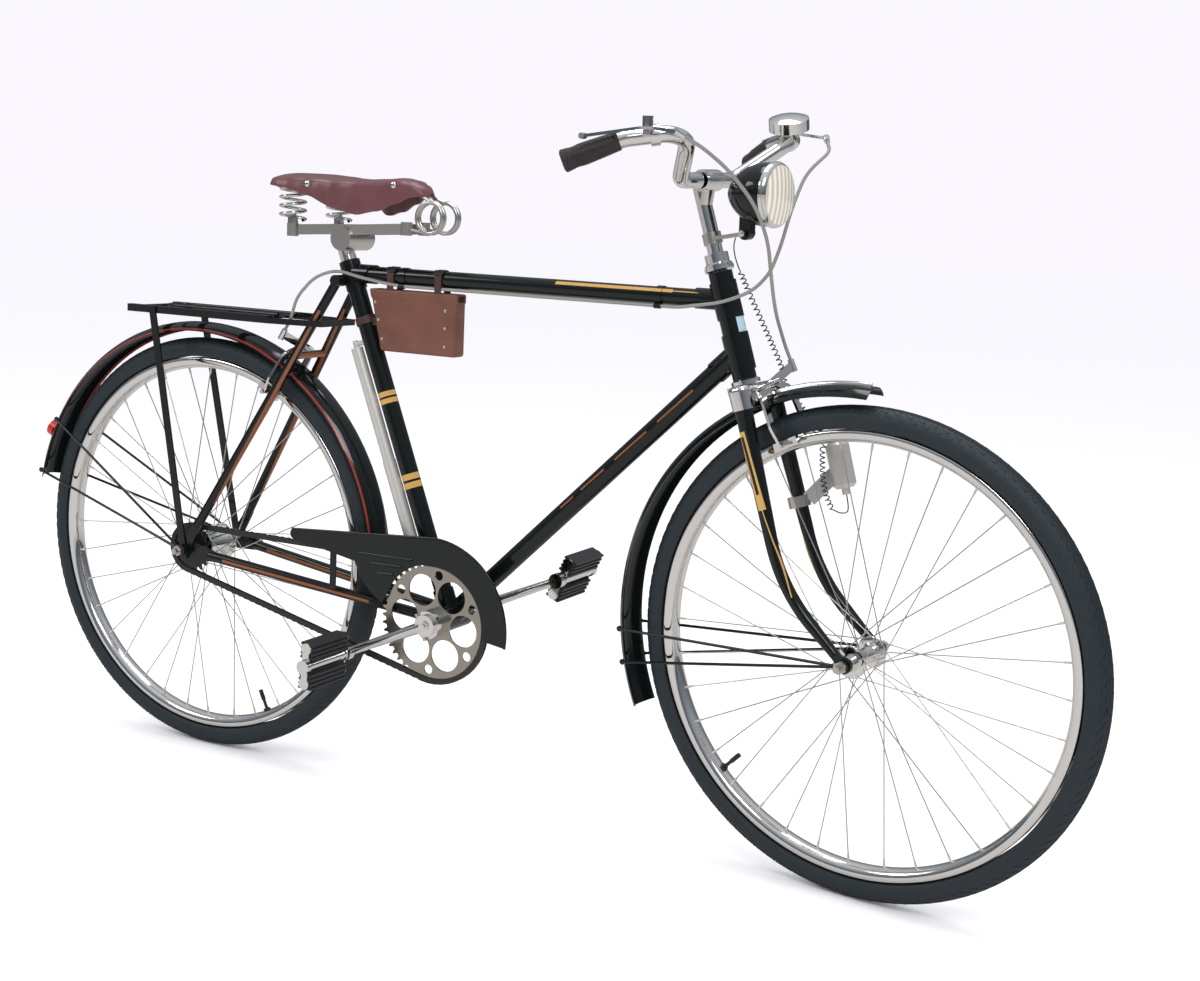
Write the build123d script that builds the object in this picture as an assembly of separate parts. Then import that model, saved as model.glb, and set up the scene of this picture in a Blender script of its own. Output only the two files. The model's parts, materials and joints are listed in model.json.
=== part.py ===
from build123d import *
import math
import os

# Roadster bicycle in millimetres and degrees. Road frame while modelling: X forward, Y left, Z up,
# zero on the ground under the rear axle. The pieces are written about the rider's point on the saddle.

# Wheels
RIM_RADIUS = 317.0
TYRE_DEPTH = 33.0
TYRE_WIDTH = 40.0
TREAD_WIDTH = 18.0
BEAD_WIDTH = 26.0
RIM_WIDTH = 30.0
RIM_WALL = 13.0
RIM_CROWN = 5.0
SPOKES = 36
SPOKE_SIZE = 1.8
SPOKE_CROSS = 60.0
SPOKE_SEAT = 2.0
SPOKE_RIM_Y = 2.0
FLANGE_HALF = 1.6
VALVE_R = 3.5
VALVE_LENGTH = 34.0
AXLE_R = 5.0
HUB_COLLAR = 3.0
HUB_CONE = 4.0
NUT_R = 9.0
NUT_WIDTH = 8.0
AXLE_STUB = 8.0
RUNNING_FIT = 0.06
FREE_GAP = 0.4
HUB_END_GAP = 3.5
HUB_FORK_GAP = 1.5

# Frame, set out from the tyres
STAY_ROOM = 139.0
FRONT_ROOM = 329.0
BRACKET_DROP = 52.0
SEAT_ANGLE = 68.8
HEAD_ANGLE = 72.0
FORK_RAKE = 80.0
STEER_AT_REST = -7.4
CROWN_RISE = 8.0
HEAD_LOW_JOINT = 37.0
TUBE_SPREAD = 71.0
HEAD_ABOVE = 38.0
SEAT_ABOVE = 18.0
STAY_BELOW = 12.0
TOP_TUBE_R = 12.7
MAIN_TUBE_R = 14.3
HEAD_TUBE_R = 17.0
HEAD_BORE_R = 15.0
SEAT_POST_R = 12.7
SEAT_POST_INSERT = 90.0
LUG_WALL = 2.2
LUG_LENGTH = 46.0
LUG_COLLAR = 25.0
LUG_SCALLOP_R = 11.0
BRACKET_R = 20.0
BRACKET_WIDTH = 70.0
BRACKET_CUP = 3.0
BRACKET_CUP_R = 16.0
DROPOUT_ROOM = 12.0
DROPOUT_WALL = 5.0
DROPOUT_BACK = 22.0
STAY_START = 50.0
CHAIN_STAY_R = 8.5
CHAIN_STAY_BRACKET_Y = 26.0
CHAIN_STAY_OUT = 3.0
CHAIN_STAY_SHORT = 12.0
CHAIN_BRIDGE_GAP = 12.0
SEAT_BRIDGE_GAP = 20.0
BRIDGE_R = 6.0
SEAT_STAY_R = 7.5
SEAT_STAY_TOP_Y = 29.0
SEAT_STAY_OUT = 6.0
STAY_BOLT_BACK = 12.0
STAY_BOLT_R = 9.0
LUG_EAR_R = 8.0
LUG_EAR_HALF = 16.0
STAY_CAP = 8.0
STAY_TAB = 4.0
STAY_TAB_HALF = 11.0
STAY_TAB_TOP_HALF = 7.0
STAY_TAB_LENGTH = 62.0
RACK_TAB = 3.0
WIRE_EYE = 6.0
WIRE_EYE_R = 9.0

# Fork and headset
BLADE_GUARD_GAP = 6.0
BLADE_Y_AXLE = 52.0
BLADE_SET_FORWARD = 13.0
BLADE_DEPTH = 27.0
BLADE_BREADTH = 20.0
BLADE_FOOT_R = 9.0
BLADE_TIP_R = 7.0
BLADE_BEND_R = 230.0
BLADE_BEND = 30.0
BLADE_TIP_GAP = 20.0
FORK_END = 5.0
FORK_EYE_R = 11.0
FORK_TANG_WIDTH = 14.0
FORK_TANG_LENGTH = 36.0
CROWN_DEPTH = 32.0
CROWN_PLATE = 11.0
CROWN_PLATE_DEPTH = 26.0
CROWN_COLLAR_R = 20.0
CROWN_WALL = 3.0
CROWN_CAP = 34.0
CROWN_CAP_ROUND = 8.0
STEERER_R = 12.7
STEERER_ABOVE = 26.0
RACE_R = 21.0
RACE_HEIGHT = 8.0
RACE_LIP = 5.0
CUP_HEIGHT = 7.0
CUP_BORE_GAP = 1.0
LOCK_NUT_R = 17.0
LOCK_NUT_HEIGHT = 18.0

# Drive
CHAIN_PITCH = 12.7
RING_TEETH = 46
SPROCKET_TEETH = 19
CHAIN_ROOM = 10.0
TOOTH_WALL = 2.8
TOOTH_TIP = 2.8
ROLLER_R = 3.9
CHAIN_GAP = 3.6
CHAIN_PLATE = 2.2
CHAIN_PIN_R = 4.3
CHAIN_WAIST_R = 3.2
CHAIN_MESH_LINKS = 3.2
RING_ARMS = 6
RING_HOLE_R = 25.0
RING_HOLE_CENTRE_R = 54.0
RING_EYE_R = 7.5
RING_EYE_CENTRE_R = 76.0
RING_BOSS_R = 22.0
CRANK_LENGTH = 165.0
CRANK_ROOM = 24.5
CRANK_ANGLE = 24.4
CRANK_BOSS_R = 17.0
CRANK_EYE_R = 12.0
CRANK_WIDTH = 13.0
CRANK_ROOT_R = 9.0
CRANK_NECK_R = 6.5
SPINDLE_R = 8.0
SPINDLE_END = 2.0
COTTER_R = 4.5
COTTER_OFFSET = 9.0
COTTER_HALF = 22.0
PEDAL_SPINDLE_R = 5.0
PEDAL_GAP = 3.0
PEDAL_LENGTH = 102.0
PEDAL_WIDTH = 74.0
PEDAL_TUBE_R = 9.0
PEDAL_CAP = 6.0
PEDAL_CAP_R = 11.0
PEDAL_PLATE = 3.0
PEDAL_LOBE_R = 9.0
PEDAL_BAR_HALF = 6.0
PEDAL_BLOCK_HEIGHT = 24.0
PEDAL_BLOCK_WIDTH = 25.0
PEDAL_RIBS = 4
PEDAL_RIB_DEPTH = 2.0
LEFT_PEDAL_TILT = -64.0
RIGHT_PEDAL_TILT = -86.0

# Chain guard
GUARD_ROOM = 6.0
GUARD_WALL = 1.4
GUARD_COVER = 41.0
GUARD_INSET = 1.0
GUARD_LENGTH = 272.0
GUARD_RISE = 114.0
GUARD_REAR_HEIGHT = 16.0
GUARD_END_ANGLE = -8.0
GUARD_TOOTH_ANGLE = 161.0
GUARD_TOOTH_BACK = 94.0
GUARD_TOOTH_RISE = 19.0
GUARD_KNEE_BACK = 147.0
GUARD_KNEE_RISE = 78.0
GUARD_KNEE_SAG = 8.0
GUARD_BEAD_R = 2.0
GUARD_ARM_BACK = 190.0
GUARD_ARM_LAP = 7.0
GUARD_ARM_RISE = 14.0
GUARD_ARM_WIDTH = 12.0
GUARD_ARM_R = 4.0
# Pressed ribs: rear end and front end, behind and above the bracket
GUARD_RIBS = ((-140, 93, -38, 95), (-116, 80, -58, 81), (-102, 65, -74, 67))

# Mudguards, wire stays and rack
MUDGUARD_GAP = 26.0
MUDGUARD_OVER = 7.0
MUDGUARD_DEPTH = 15.0
MUDGUARD_WALL = 1.6
REAR_GUARD_BACK = 12.0
FRONT_GUARD_BACK = 21.0
GUARD_STAY_R = 2.2
GUARD_STAY_INSET = 4.0
GUARD_STAY_GAP = 0.2
GUARD_CLIP_WIDTH = 14.0
GUARD_CLIP_WALL = 2.5
REFLECTOR_ANGLE = 155.0
REFLECTOR_R = 16.0
REFLECTOR_HEIGHT = 12.0
RACK_GAP = 24.0
RACK_HALF_WIDTH = 60.0
RACK_REAR_X = -131.0
RACK_STAY_GAP = 19.0
RACK_FRONT_HALF = 44.0
RACK_TAPER = 95.0
RACK_SHEET = 2.5
RACK_RAIL_HEIGHT = 12.0
RACK_RAIL_FLANGE = 12.0
RACK_SLAT_WIDTH = 14.0
RACK_SLATS = 4
RACK_LEG_X = -75.0
RACK_LEG_WIDTH = 13.0
RACK_LEG_EYE_R = 11.0
RACK_CLIP_R = 3.0
RACK_CLIP_HALF = 24.0
RACK_CLIP_BEND = 18.0
RACK_CLIP_SINK = 0.4

# Saddle
SADDLE_RISE = 152.0
RIDER_BACK = 239.0
SADDLE_BACK = 92.0
SADDLE_AHEAD = 182.0
SADDLE_HALF_WIDTH = 100.0
SADDLE_NOSE_HALF = 21.0
SADDLE_WAIST_BACK = 102.0
SADDLE_WAIST_HALF = 38.0
SADDLE_HIP = 40.0
SADDLE_CORNER = 34.0
SADDLE_NOSE_ROUND = 20.0
SADDLE_LEATHER = 6.0
SADDLE_SEAT_DROP = 16.0
SADDLE_SKIRT_DROP = 60.0
SADDLE_PLATE = 4.0
CANTLE_DEPTH = 92.0
NOSE_PLATE_DEPTH = 42.0
SPRING_AHEAD = 54.0
SPRING_INSET = 41.0
SPRING_R = 19.0
SPRING_WIRE = 2.6
SPRING_TURNS = 4
BAR_DROP = 88.0
BAR_RISE = 10.0
BAR_THICK = 4.0
BAR_HEIGHT = 16.0
CUP_R = 9.0
CUP_HALF = 10.0
FRONT_CUP_BACK = 30.0
FRONT_CUP_Y = 24.0
WAIST_BAR_Y = 27.0
LOOP_AHEAD = 11.0
LOOP_R = 23.0
LOOP_WIRE = 3.0
LOOP_PITCH = 7.0
LOOP_TAIL_R = 2.4
LOOPS = 2
CLAMP_AHEAD = 24.0
CLAMP_R = 19.0
CLAMP_HALF = 33.0

# Handlebar, levers, bell and lamp
BAR_R = 11.1
STEM_R = 11.0
STEM_RISE = 126.0
STEM_REACH = 16.4
BAR_LOWER = Vector(-3, 70, 0)
BAR_UPPER = Vector(60, 148, 65)
BAR_GRIP = Vector(-10, 196, 53)
BAR_END = Vector(-73, 240, 23)
BAR_UPPER_BEND = 34.0
BAR_LOWER_BEND = 30.0
BAR_GRIP_BEND = 60.0
STEM_CLAMP_WALL = 4.0
STEM_CLAMP_HALF = 20.0
STEM_NECK_DROP = 34.0
STEM_BOLT_R = 5.0
STEM_BOLT_RISE = 5.0
GRIP_R = 15.5
GRIP_END_R = 13.0
GRIP_LENGTH = 75.0
GRIP_CAP = 4.0
LEVER_BAND = 12.0
LEVER_AT = 0.47
LEVER_BAND_WALL = 3.0
LEVER_SIDE = Vector(0, 18, 10)
LEVER_POST_R = 7.0
LEVER_POST_RISE = 14.0
LEVER_STOP = Vector(52, 9, -6)
LEVER_WIDTH = 9.0
LEVER_THICK = 4.0
LEVER_BEND = 40.0
LEVER_TIP = Vector(0, 15, 20)
LEVER_TIP_IN = 34.0
SOCKET_R = 4.5
SOCKET_LENGTH = 14.0
BELL_R = 29.0
BELL_WALL = 16.0
BELL_DOME = 6.0
BELL_STAND = 17.0
BELL_POST_R = 6.0
LAMP_DROP = 16.0
LAMP_AHEAD = 126.2
LAMP_DEPTH = 78.0
LAMP_R = 43.0
LAMP_BACK_R = 9.0
LAMP_BULGE = Vector(-50, 0, 36)
LAMP_RIM_WIDTH = 10.0
LAMP_RIM_LIP = 3.0
LAMP_RIM_OVER = 2.0
LAMP_DOME = 5.0
LAMP_LUG_AHEAD = 58.7
LAMP_LUG_GAP = 11.0
LAMP_LUG_HALF = 7.0
LAMP_LUG_R = 9.0
LAMP_ARM_WIDTH = 22.0
LAMP_ARM_THICK = 5.0
LAMP_BAND_HEIGHT = 16.0
LAMP_BAND_WALL = 2.5
LAMP_BAND_DROP = 10.0

# Brakes, dynamo, pump and bag
BRAKE_ABOVE = 22.0
BRAKE_OUT = 20.0
BRAKE_BOLT_R = 5.0
FRONT_BRAKE_BOLT = 26.0
BRAKE_BOLT_FRONT = 14.0
BRAKE_ARM_WIDTH = 12.0
BRAKE_ARM_PLATE = 4.0
BRAKE_SHOULDER_OUT = 10.0
BRAKE_SHOULDER_DROP = 14.0
BRAKE_KNEE_OUT = 15.0
BRAKE_KNEE_RISE = 26.0
BRAKE_PAD_GAP = 6.0
BRAKE_PAD_THICK = 8.0
BRAKE_PAD_HEIGHT = 12.0
BRAKE_PAD_LENGTH = 40.0
BRAKE_PAD_DROP = 7.0
BRAKE_PAD_STALK = 9.0
BRAKE_STALK_R = 3.5
BRAKE_ANCHOR_Y = 46.0
BRAKE_ANCHOR_RISE = 16.0
BRAKE_ANCHOR_OUT = 13.0
BRAKE_ANCHOR_R = 4.5
BRAKE_ANCHOR_LENGTH = 18.0
REAR_BRAKE_LEAN = 59.0
FRONT_BRAKE_LEAN = 116.3
DYNAMO_R = 17.0
DYNAMO_LENGTH = 62.0
DYNAMO_SHOULDER = 8.0
DYNAMO_NECK_R = 8.0
DYNAMO_ROLLER_R = 9.0
DYNAMO_ROLLER_LENGTH = 16.0
DYNAMO_TERMINAL_R = 6.0
DYNAMO_TERMINAL = 9.0
DYNAMO_CHAMFER = 5.0
DYNAMO_INSET = 88.0
DYNAMO_ANGLE = 109.4
DYNAMO_Y = 76.0
DYNAMO_LEAN = 0.06
DYNAMO_CLAMP_DROP = 92.0
DYNAMO_CLAMP_R = 16.0
DYNAMO_CLAMP_HALF = 8.0
DYNAMO_CLAMP_Y = 47.0
DYNAMO_PLATE = 4.0
DYNAMO_PLATE_WIDTH = 22.0
DYNAMO_PLATE_UP = 30.0
PUMP_LOW = 122.0
PUMP_DROP = 108.0
PUMP_R = 9.5
PUMP_HANDLE_R = 10.5
PUMP_HANDLE_AT = 0.42
PUMP_SIDE = 11.0
PUMP_PEG = 12.0
PUMP_PEG_R = 4.0
BAG_LENGTH = 140.0
BAG_HEIGHT = 97.0
BAG_HALF = 15.0
BAG_DROP = 8.0
BAG_AHEAD = 65.0
BAG_CUT = 22.0
BAG_ROUND = 5.0
BAG_STRAP = 2.5
BAG_STRAP_WIDTH = 14.0
BAG_STRAPS = (17.0, 105.0)

# Cables and lamp lead
CABLE_R = 2.5
CABLE_CLEAR = 0.6
CLIP_WALL = 1.5
CLIP_WIDTH = 10.0
CLIP_FROM_LUG = 102.0
CABLE_UNDER = 53.0
LEAD_R = 4.2
CORNER_SHARE = 0.45
CABLE_STRAIGHT = 22.0
CABLE_LEAVE = Vector(16, -20, -14)
LEAD_AT = 0.69
# Way points ahead of, beside and above the joint of the top tube with the head or the seat tube
FRONT_CABLE = ((70, -128, 182), (83, -78, 138), (86, -42, 88), (76, -12, 38), (74, 8, -12))
REAR_CABLE = ((33, -22, -5), (-8, -31, 5), (-44, -40, -8), (-74, -46, -42))
LEAD_UPPER = ((15, 0, 51), (55, 58, -84), (65, 64, -118), (85, 66, -142))
# The same, with the share of the steering's turn that each point follows
REAR_LOOP = ((44, 132, 176, 1), (48, 86, 124, 1), (54, 52, 78, 1), (54, 24, 40, 1), (44, -8, 16, 0.5),
             (6, -27, -2, 0))
# Way points ahead of, beside and above the foot of the dynamo
LEAD_LOWER = ((-30, -16, 74), (-26, -26, 52), (-16, -36, 9), (-6, -26, -26), (8, -6, -32))

LEFT = Vector(0, 1, 0)
UP = Vector(0, 0, 1)
FORWARD = Vector(1, 0, 0)
SIDES = (1, -1)
ACROSS = 300.0
TYRE_RADIUS = RIM_RADIUS + TYRE_DEPTH
TYRE_TOP = 2 * TYRE_RADIUS
BRACKET_X = TYRE_RADIUS + STAY_ROOM
BRACKET_Z = TYRE_RADIUS - BRACKET_DROP
WHEELBASE = BRACKET_X + FRONT_ROOM + TYRE_RADIUS
CROWN_TOP_Z = TYRE_TOP + CROWN_RISE
CROWN_BOTTOM_Z = CROWN_TOP_Z - CROWN_DEPTH
HEAD_BOTTOM_Z = CROWN_TOP_Z + CUP_HEIGHT + CUP_BORE_GAP
DOWN_TUBE_Z = HEAD_BOTTOM_Z + HEAD_LOW_JOINT
TOP_TUBE_Z = DOWN_TUBE_Z + TUBE_SPREAD
HEAD_TOP_Z = TOP_TUBE_Z + HEAD_ABOVE
SEAT_TUBE_TOP_Z = TOP_TUBE_Z + SEAT_ABOVE
SEAT_STAY_TOP_Z = TOP_TUBE_Z - STAY_BELOW
SADDLE_TOP_Z = TOP_TUBE_Z + SADDLE_RISE
RIDER_X = BRACKET_X - RIDER_BACK
SADDLE_REAR_X = RIDER_X - SADDLE_BACK
SADDLE_NOSE_X = RIDER_X + SADDLE_AHEAD
SADDLE_WAIST_X = SADDLE_NOSE_X - SADDLE_WAIST_BACK
SPRING_X = SADDLE_REAR_X + SPRING_AHEAD
SPRING_Y = SADDLE_HALF_WIDTH - SPRING_INSET
FRONT_CUP_X = SADDLE_NOSE_X - FRONT_CUP_BACK
LOOP_X = SADDLE_NOSE_X + LOOP_AHEAD
BAR_Z = HEAD_TOP_Z + STEM_RISE
LAMP_Z = BAR_Z - LAMP_DROP
LAMP_LUG_Z = LAMP_Z - LAMP_R - LAMP_LUG_GAP
LAMP_BAND_Z = LAMP_LUG_Z - LAMP_BAND_DROP
MUDGUARD_WIDTH = TYRE_WIDTH + 2 * MUDGUARD_OVER
GUARD_RADIUS = TYRE_RADIUS + MUDGUARD_GAP
RACK_Z = TYRE_RADIUS + GUARD_RADIUS + RACK_GAP
BRAKE_PIVOT_R = GUARD_RADIUS + BRAKE_ABOVE
BLADE_Y_TOP = MUDGUARD_WIDTH / 2 + BLADE_GUARD_GAP + BLADE_BREADTH / 2
HALF_SHELL = BRACKET_WIDTH / 2 + BRACKET_CUP
CRANK_Y = HALF_SHELL + CRANK_ROOM + CRANK_WIDTH / 2
CHAIN_Y = -HALF_SHELL - CHAIN_ROOM
GUARD_Y = CHAIN_Y - GUARD_ROOM
DROPOUT_Y = DROPOUT_ROOM - CHAIN_Y
CHAIN_STAY_FOOT_Y = DROPOUT_Y + CHAIN_STAY_OUT
SEAT_STAY_FOOT_Y = DROPOUT_Y + SEAT_STAY_OUT
DROPOUT_FACE = DROPOUT_Y + DROPOUT_WALL / 2
FORK_FACE = BLADE_Y_AXLE + FORK_END / 2
REAR_HUB = dict(flange_y=30.0, flange_r=30.0, barrel_r=22.0, driver_r=17.0, valve_at=65.0,
                half=DROPOUT_Y - DROPOUT_WALL / 2 - HUB_END_GAP)
FRONT_HUB = dict(flange_y=32.0, flange_r=22.0, barrel_r=11.0, driver_r=12.0, valve_at=135.0,
                 half=BLADE_Y_AXLE - FORK_END / 2 - HUB_FORK_GAP)
REAR_AXLE = Vector(0, 0, TYRE_RADIUS)
FRONT_AXLE = Vector(WHEELBASE, 0, TYRE_RADIUS)
BRACKET = Vector(BRACKET_X, 0, BRACKET_Z)
RIDER = Vector(RIDER_X, 0, SADDLE_TOP_Z)
HEAD = math.radians(HEAD_ANGLE)
SEAT = math.radians(SEAT_ANGLE)
STEER_UP = Vector(-math.cos(HEAD), 0, math.sin(HEAD))
STEER_AHEAD = Vector(math.sin(HEAD), 0, math.cos(HEAD))
STEER_FOOT = FRONT_AXLE - STEER_AHEAD * FORK_RAKE
SEAT_UP = Vector(-math.cos(SEAT), 0, math.sin(SEAT))
REAR_GUARD = dict(centre=REAR_AXLE - FORWARD * REAR_GUARD_BACK, start=-3.0, end=168.0)
FRONT_GUARD = dict(centre=FRONT_AXLE - FORWARD * FRONT_GUARD_BACK, start=87.0, end=203.0)
REAR_WIRES = (150.0, 166.0)
FRONT_WIRES = (184.0, 192.0)


def on_head(z):
    return STEER_FOOT + STEER_UP * ((z - STEER_FOOT.Z) / STEER_UP.Z)


def on_seat(z):
    return BRACKET + SEAT_UP * ((z - BRACKET.Z) / SEAT_UP.Z)


def at_side(point, y):
    return Vector(point.X, y, point.Z)


def mirrored(point, side):
    return Vector(point.X, point.Y * side, point.Z)


def polar(centre, radius, angle, y=0.0):
    """Point in the side view, the angle from straight ahead over the top."""
    turn = math.radians(angle)
    return Vector(centre.X + radius * math.cos(turn), y, centre.Z + radius * math.sin(turn))


BAR_CENTRE = on_head(BAR_Z) + FORWARD * STEM_REACH
LAMP_RIM = on_head(LAMP_Z) + FORWARD * LAMP_AHEAD
LAMP_LUG = on_head(LAMP_LUG_Z) + FORWARD * LAMP_LUG_AHEAD
HEAD_JOINT = on_head(TOP_TUBE_Z)
SEAT_JOINT = on_seat(TOP_TUBE_Z)
CABLE_CLIPS = (HEAD_JOINT.X - CLIP_FROM_LUG, SEAT_JOINT.X + CLIP_FROM_LUG)
DYNAMO_AXIS = (STEER_UP + LEFT * DYNAMO_LEAN).normalized()
DYNAMO_BASE = polar(FRONT_AXLE, RIM_RADIUS - DYNAMO_INSET, DYNAMO_ANGLE, DYNAMO_Y)


def rod(start, end, radius, end_radius=None):
    run = end - start
    plane = Plane(origin=start, z_dir=run)
    if end_radius is None:
        return Solid.make_cylinder(radius, run.length, plane)
    return Solid.make_cone(radius, end_radius, run.length, plane)


def cross_rod(centre, radius, y_from, y_to):
    return rod(at_side(centre, y_from), at_side(centre, y_to), radius)


def across(centre, radius):
    """Long cutter through the whole width of the bicycle."""
    return cross_rod(centre, radius, -ACROSS, ACROSS)


def plate(edges, y_from, y_to):
    """Edges drawn in the side view, thickened from one y to another."""
    low, high = sorted((y_from, y_to))
    plane = Plane(origin=(0, low, 0), x_dir=(1, 0, 0), z_dir=(0, -1, 0))
    return extrude(plane * make_face(edges), amount=high - low, dir=(0, 1, 0))


def prism(points, y_from, y_to):
    return plate(Polyline(*[(point.X, point.Z) for point in points], close=True), y_from, y_to)


def lathe(edges, origin, along, start=UP):
    """Edges drawn as distance along the axis and radius, turned about the axis."""
    plane = Plane(origin=origin, x_dir=along, z_dir=along.cross(start))
    return revolve(plane * make_face(edges), Axis(origin, along))


def cap_point(radius, height):
    """Point of a spherical cap's outline at half its radius, as height above the rim and radius."""
    sphere = (radius ** 2 + height ** 2) / (2 * height)
    return height - sphere + math.sqrt(sphere ** 2 - radius ** 2 / 4), radius / 2


def bent(points, bends, radius):
    """Round bar along straight runs, with a tangent arc of its own radius at each inner corner."""
    path = FilletPolyline(*points, radius=list(bends))
    section = Plane(origin=path @ 0, z_dir=path % 0) * Circle(radius)
    return sweep(section, path)


def strap(points, bends, width, height, up=UP):
    """Flat bar along straight runs with tangent arcs, its height along the given direction."""
    path = FilletPolyline(*points, radius=list(bends)) if bends else Line(*points)
    run = path % 0
    section = Plane(origin=path @ 0, x_dir=run.cross(up), z_dir=run) * Rectangle(width, height)
    return sweep(section, path)


def cord(name, points, radius):
    """Tube along a route whose corners are as round as their shorter run allows."""
    bends = []
    for before, corner, after in zip(points, points[1:], points[2:]):
        arrive, leave = corner - before, after - corner
        half_turn = math.radians(arrive.get_angle(leave)) / 2
        bends.append(CORNER_SHARE * min(arrive.length, leave.length) / math.tan(half_turn))
    print(name, "bend radii", [round(bend) for bend in bends])
    return bent(points, bends, radius)


def joined(pieces):
    whole = pieces[0]
    for piece in pieces[1:]:
        whole = whole + piece
    return whole


def cut_by(piece, tools):
    for tool in tools:
        piece = piece - tool
    return piece


# Frame tubes and lugs

def lug_sleeve(start, along, length, radius):
    """Sleeve round a tube, its free end scalloped at the sides so that a point is left above and below."""
    end = start + along * length
    return rod(start, end, radius) - across(end, LUG_SCALLOP_R)


def stay_bolt():
    return on_seat(SEAT_STAY_TOP_Z) - FORWARD * STAY_BOLT_BACK


def frame_tubes():
    head_top, head_low = on_head(TOP_TUBE_Z), on_head(DOWN_TUBE_Z)
    seat_top = on_seat(TOP_TUBE_Z)
    down_up = (head_low - BRACKET).normalized()
    half = BRACKET_WIDTH / 2
    head_solid = rod(on_head(HEAD_BOTTOM_Z), on_head(HEAD_TOP_Z), HEAD_TUBE_R)
    head_bore = rod(on_head(HEAD_BOTTOM_Z - LUG_LENGTH), on_head(HEAD_TOP_Z + LUG_LENGTH), HEAD_BORE_R)
    shell_solid = cross_rod(BRACKET, BRACKET_R, -half, half)
    seat_solid = rod(BRACKET, on_seat(SEAT_TUBE_TOP_Z), MAIN_TUBE_R)
    post_bore = rod(on_seat(SEAT_TUBE_TOP_Z - SEAT_POST_INSERT), on_seat(SADDLE_TOP_Z), SEAT_POST_R)
    top_solid = rod(seat_top, head_top, TOP_TUBE_R)
    down_solid = rod(BRACKET, head_low, MAIN_TUBE_R)
    tubes = (head_solid, seat_solid, top_solid, down_solid)
    around_head, around_main, around_top = (r + LUG_WALL for r in (HEAD_TUBE_R, MAIN_TUBE_R, TOP_TUBE_R))
    upper = rod(on_head(TOP_TUBE_Z - LUG_COLLAR), on_head(TOP_TUBE_Z + LUG_COLLAR), around_head)
    upper = upper + lug_sleeve(head_top, FORWARD * -1, LUG_LENGTH, around_top)
    lower = rod(on_head(DOWN_TUBE_Z - LUG_COLLAR), on_head(DOWN_TUBE_Z + LUG_COLLAR), around_head)
    lower = lower + lug_sleeve(head_low, down_up * -1, LUG_LENGTH, around_main)
    seat = rod(on_seat(TOP_TUBE_Z - LUG_COLLAR), on_seat(SEAT_TUBE_TOP_Z), around_main)
    seat = seat + lug_sleeve(seat_top, FORWARD, LUG_LENGTH, around_top)
    seat = seat + cross_rod(stay_bolt(), LUG_EAR_R, -LUG_EAR_HALF, LUG_EAR_HALF)
    sockets = lug_sleeve(BRACKET, SEAT_UP, LUG_LENGTH, around_main)
    sockets = sockets + lug_sleeve(BRACKET, down_up, LUG_LENGTH, around_main)
    cups = cross_rod(BRACKET, BRACKET_CUP_R, -HALF_SHELL, HALF_SHELL)
    shell = cut_by(sockets, tubes) + shell_solid + cups
    return {
        "head_tube": head_solid - head_bore,
        "seat_tube": cut_by(seat_solid, (shell_solid, post_bore)),
        "top_tube": cut_by(top_solid, (seat_solid, head_solid)),
        "down_tube": cut_by(down_solid, (shell_solid, head_solid, seat_solid)),
        "head_lugs": Compound([cut_by(upper, tubes), cut_by(lower, tubes)]),
        "seat_lug": cut_by(seat, tubes),
        "bracket_shell": shell - across(BRACKET, SPINDLE_R + RUNNING_FIT),
        "seat_post": rod(on_seat(SEAT_TUBE_TOP_Z - SEAT_POST_INSERT), on_seat(bar_z()), SEAT_POST_R),
    }


# Dropout outline: behind or ahead of the axle, above or below it
DROPOUT_OUTLINE = ((-DROPOUT_BACK, 10), (-8, 14), (14, 16), (62, 2), (62, -14), (10, -16), (-8, -14),
                   (-DROPOUT_BACK, -10))


def chain_stay_line(side):
    return at_side(REAR_AXLE, side * CHAIN_STAY_FOOT_Y), at_side(BRACKET, side * CHAIN_STAY_BRACKET_Y)


def on_chain_stay(distance, side):
    """Point of a chain stay's line at a distance from the axle."""
    foot, end = chain_stay_line(side)
    return foot + (end - foot).normalized() * distance


def chain_bridge():
    return on_chain_stay(GUARD_RADIUS - REAR_GUARD_BACK + CHAIN_BRIDGE_GAP, 1)


def seat_bridge(side=1):
    low, top = at_side(REAR_AXLE, side * SEAT_STAY_FOOT_Y), at_side(stay_bolt(), side * SEAT_STAY_TOP_Y)
    return low + (top - low).normalized() * (GUARD_RADIUS + SEAT_BRIDGE_GAP)


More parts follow.
